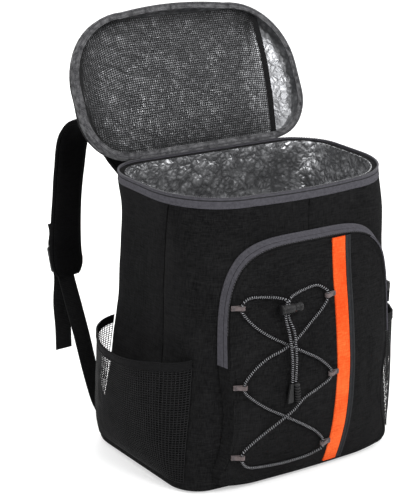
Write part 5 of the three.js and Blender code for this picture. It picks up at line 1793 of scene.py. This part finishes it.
STRAP_ROUTE = [
    (strap_point(STRAP_FOOT_X, 0, 0), 0),
    (strap_point(STRAP_FOOT_X, 9, 1), 0),
    (strap_point(-86, 41, 23), 3),
    (strap_point(-98, 76, 54), 6),
    (strap_point(-110, 100, 61), 8),
    (strap_point(-120, 111, 43), 9),
    (strap_point(-130, 107, 0), 10),
    (strap_point(-138, 99, -40), 11),
    (strap_point(-144, 91, -74), 12),
    (strap_point(-148, 83.5, -98), 12),
    (strap_point(-149, 78, -114), 10),
    (strap_point(-149, 75, -126), 8),
]
# A strap pad's section as shares of its half width and half thickness: a swell between two bound edges
PAD_EDGE = [
    (1, 0), (0.99, 0.3), (0.95, 0.5), (0.9, 0.5), (0.85, 0.46), (0.8, 0.66), (0.72, 0.85), (0.55, 0.96),
    (0.3, 1),
]
PAD_HALF = [(-a, b) for a, b in PAD_EDGE] + [(0, 1)] + PAD_EDGE[::-1]
PAD_OUTLINE = PAD_HALF + [(-a, -b) for a, b in PAD_HALF[1:-1]]
PAD_STITCHES = (-0.85, 0.85)


def band_frames(route, spacing):
    """Place, width and outward direction every spacing along a route of (point, turn) rows."""
    points = [at for at, turn in route]
    line = smooth_path(points, spacing)
    lengths = run_lengths(line)
    marks, nearest = [], 0
    for at, turn in route:
        nearest = min(range(nearest, len(line)), key=lambda k: (line[k] - at).length)
        marks.append({"along": lengths[nearest], "turn": turn})
    frames = []
    for k, p in enumerate(line):
        run = run_at(line, k)
        angle = math.radians(table_at(marks, "along", lengths[k], "turn"))
        across = Vector((math.cos(angle), math.sin(angle), 0))
        across = (across - run * across.dot(run)).normalized()
        frames.append((p, across, across.cross(run), lengths[k] / lengths[-1]))
    return frames


def on_side(side, p):
    """A point drawn for the left, or for side -1 its mirror image."""
    return Vector((side * p.x, p.y, p.z))


def band(name, route, spacing, half_size, section, finish, side, wave=0.0):
    """A section carried along a route; half_size gives its half width and half thickness at a share."""
    rings = []
    for p, across, out, share in band_frames(route, spacing):
        width, thickness = half_size(share)
        ring = []
        for a, b in section:
            dent = wave * noise.noise(Vector((a * 2, share * 16, side))) * (1 - a * a)
            rise = b * thickness + dent * math.copysign(1, b)
            ring.append(on_side(side, p + across * (a * width) + out * rise))
        rings.append(ring)
    return loft(name, rings, finish)


def strap_size(share):
    end = min(share / 0.05, 0.35 + (1 - share) / 0.1, 1)
    narrow = mix(STRAP_TOP_WIDTH, STRAP_NECK_WIDTH, min(share / 0.7, 1))
    width = narrow if share < 0.7 else mix(STRAP_NECK_WIDTH, STRAP_END_WIDTH, (share - 0.7) / 0.3)
    tip = clamp((1 - share) / 0.035) ** 0.5
    return width / 2 * mix(0.75, 1, end) * mix(0.72, 1, tip), STRAP_THICKNESS / 2 * mix(0.4, 1, end)


PAD_LOW, PAD_END = STRAP_ROUTE[-3][0], STRAP_ROUTE[-2][0]
LADDER_WIDE = Vector((math.cos(math.radians(LADDER_TURN)), math.sin(math.radians(LADDER_TURN)), 0))
LADDER_RISE = STRAP_ROUTE[-4][0] - PAD_END
LADDER_UP = (LADDER_RISE - LADDER_WIDE * LADDER_RISE.dot(LADDER_WIDE)).normalized()
LADDER_OUT = LADDER_UP.cross(LADDER_WIDE).normalized()
LADDER_PLACE = PAD_LOW + LADDER_OUT * LADDER_OFF - LADDER_UP * 6


def on_ladder(up, out):
    return LADDER_PLACE + LADDER_UP * up + LADDER_OUT * out


def back_corner(z, grow):
    section = body_section(z)
    radius = section["back"]
    turn = math.radians(WEBBING_ANGLE)
    return Vector((
        -(section["width"] / 2 - radius) - (radius + grow) * math.cos(turn),
        section["depth"] / 2 - radius + (radius + grow) * math.sin(turn), z,
    ))


WEBBING_CLEAR = LADDER_THICKNESS / 2 + WEBBING_THICKNESS / 2 + 2 * SEAT
WEBBING_ON_PAD = STRAP_THICKNESS / 2 + WEBBING_THICKNESS / 2 + 1.2 - LADDER_OFF
WEBBING_SECTION = turned_over([
    (-1, -0.3), (-0.98, -0.85), (-0.94, -1), (-0.5, -1), (0, -1), (0.5, -1), (0.94, -1), (0.98, -0.85),
    (1, -0.3),
])
# The free tail below the lock: off the middle, behind the pad's foot and above it
WEBBING_TAIL = [(-152.5, 87, -164), (-153, 81, -195), (-153.5, 78, -224)]
WEBBING_TAIL_TURN = 8


def webbing_route():
    """From the foot on the body up to the lock, round its bar and down to the free end."""
    seat = WEBBING_THICKNESS / 2 + 2 * SEAT
    bar = LADDER_BAR / 2 + WEBBING_THICKNESS / 2 + 2 * SEAT
    clear = WEBBING_CLEAR
    foot = 90 - WEBBING_ANGLE
    low_bar = -LADDER_HEIGHT / 2
    sewn = back_corner(WEBBING_FOOT + 9, seat)
    below = on_ladder(low_bar - 9, -clear - 1)
    route = [(back_corner(WEBBING_FOOT, seat), foot), (sewn, foot)]
    for share, slack, turn in ((0.12, 8, 18), (0.35, 7, 12), (0.58, 3, 9), (0.79, 1.5, 8)):
        route.append((sewn.lerp(below, share) + Vector((0, slack, 0)), turn))
    rows = [
        (low_bar - 9, -clear - 1), (low_bar, -clear), (1, -clear), (bar - 0.3, 0.5 - clear), (bar, 0),
        (bar - 0.3, clear - 0.5), (1, clear), (low_bar, clear), (low_bar - 9, clear + 1),
    ]
    route += [(on_ladder(up, out), LADDER_TURN) for up, out in rows]
    return route + [(strap_point(*place), WEBBING_TAIL_TURN) for place in WEBBING_TAIL]


def lock_loop_route():
    """From the pad round the lock's upper bar and back onto the pad."""
    clear = WEBBING_CLEAR
    edge = LADDER_HEIGHT / 2
    under = edge - LADDER_BAR - WEBBING_THICKNESS / 2 - 2 * SEAT
    on_pad = WEBBING_ON_PAD
    apart = WEBBING_THICKNESS + 2 * SEAT
    rows = [
        (edge + 28, on_pad), (edge + 18, on_pad), (edge + 2, -clear), (edge - 3, -clear),
        (under + 0.3, 0.5 - clear), (under, 0), (under + 0.3, clear - 0.5), (edge - 3, clear),
        (edge + 2, clear), (edge + 18, on_pad + apart), (edge + 28, on_pad + apart),
    ]
    return [(on_ladder(up, out), LADDER_TURN) for up, out in rows]


def webbing_size(share):
    return WEBBING_WIDTH / 2, WEBBING_THICKNESS / 2


def build_strap(name, side):
    pad = band(f"{name}_shoulder_pad", STRAP_ROUTE, 3, strap_size, PAD_OUTLINE, STRAP_CLOTH, side, 0.9)
    set_in_place(pad, "strap_pad", f"{name}_strap_pad")
    for a in PAD_STITCHES:
        for face in (-1, 1):
            seam = []
            for p, across, out, share in band_frames(STRAP_ROUTE, 3)[3:-3]:
                width, thickness = strap_size(share)
                seam.append(on_side(side, p + across * (a * width) + out * (face * (0.46 * thickness + 0.1))))
            black_seams.append(seam)
    lower = band(f"{name}_lower_webbing", webbing_route(), 2, webbing_size, WEBBING_SECTION, WEBBING, side)
    set_in_place(lower, "strap_webbing", f"{name}_strap_webbing")
    loop = band(f"{name}_buckle_loop", lock_loop_route(), 2, webbing_size, WEBBING_SECTION, WEBBING, side)
    set_in_place(loop, "strap_webbing", f"{name}_lock_loop")
    top = LADDER_HEIGHT / 2 + 23
    lift = WEBBING_ON_PAD + WEBBING_THICKNESS * 1.5 + 2 * SEAT + 0.1
    corners = [(top - 4, -9), (top - 4, 9), (top + 3, 9), (top + 3, -9), (top - 4, -9), (top + 3, 9)]
    box = [on_side(side, on_ladder(up, lift) + LADDER_WIDE * across) for up, across in corners]
    black_seams.append(spaced(box, 40))
    bevelled(f"{name}_ladder_buckle", f"{name}_ladder_lock", 0.9, PLASTIC, "black_plastic")


def bevelled(name, node, width, finish, slot):
    """A copy of a plain solid with its edges rounded."""
    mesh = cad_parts[node].data.copy()
    build = bmesh.new()
    build.from_mesh(mesh)
    bmesh.ops.remove_doubles(build, verts=build.verts, dist=1e-6)
    bmesh.ops.dissolve_limit(build, angle_limit=math.radians(2), verts=build.verts, edges=build.edges)
    sharp = [e for e in build.edges if len(e.link_faces) == 2 and e.calc_face_angle() > math.radians(28)]
    bmesh.ops.bevel(
        build, geom=sharp, offset=width * MM, segments=3, profile=0.5, affect="EDGES", clamp_overlap=True,
    )
    build.to_mesh(mesh)
    build.free()
    mesh.name = name
    mesh.materials.clear()
    mesh.materials.append(finish)
    mesh.shade_smooth()
    mesh.set_sharp_from_angle(angle=math.radians(35))
    set_in_place(added(name, mesh), slot, node)


def build_rows(tooth_lines, lid_tooth_lines):
    """Zip teeth and stitches."""
    tooth = {"Spacing": TOOTH_SPACING * MM, "Length": TOOTH_LENGTH * MM, "Radius": TOOTH_RADIUS * MM}
    rim = TEETH.run("rim_zip_teeth", *line_drawing(tooth_lines), COIL_GREY, **tooth)
    set_in_place(rim, "zip_tape")
    lid_up = tuple(LID_PLACE.to_3x3() @ Vector((0, 0, 1)))
    lid = TEETH.run("lid_zip_teeth", *line_drawing(lid_tooth_lines), COIL_GREY, Up=lid_up, **tooth)
    set_in_place(lid, "zip_tape")
    set_in_place(STITCHES.run("black_stitches", *line_drawing(black_seams), THREAD_BLACK), "body_fabric")
    set_in_place(STITCHES.run("grey_stitches", *line_drawing(grey_seams), THREAD_GREY), "zip_tape")
    tack = {"Spacing": 1.4 * MM, "Length": 1.1 * MM}
    tacks = STITCHES.run("loop_stitches", *line_drawing(loop_seams), THREAD_GREY, **tack)
    set_in_place(tacks, "loop_webbing")


tails = build_cords()
build_lock(tails)
build_body()
build_wall_seams()
build_liner()
rim_teeth = build_rim_tape()
build_lid()
lid_teeth = build_lid_tape()
build_lid_pocket()
build_hinge()
build_pocket()
build_pocket_tape()
build_bands()
build_loops()
for name, side in (("left", 1), ("right", -1)):
    build_side_pocket(name, side)
    build_strap(name, side)
build_back_panel()
bevelled("pocket_zip_slider", "front_zip_slider", 0.7, PLASTIC, "zip_slider")
bevelled("pocket_zip_pull", "front_zip_pull", 0.5, SOFT_PLASTIC, "zip_pull")
build_rows(rim_teeth, lid_teeth)
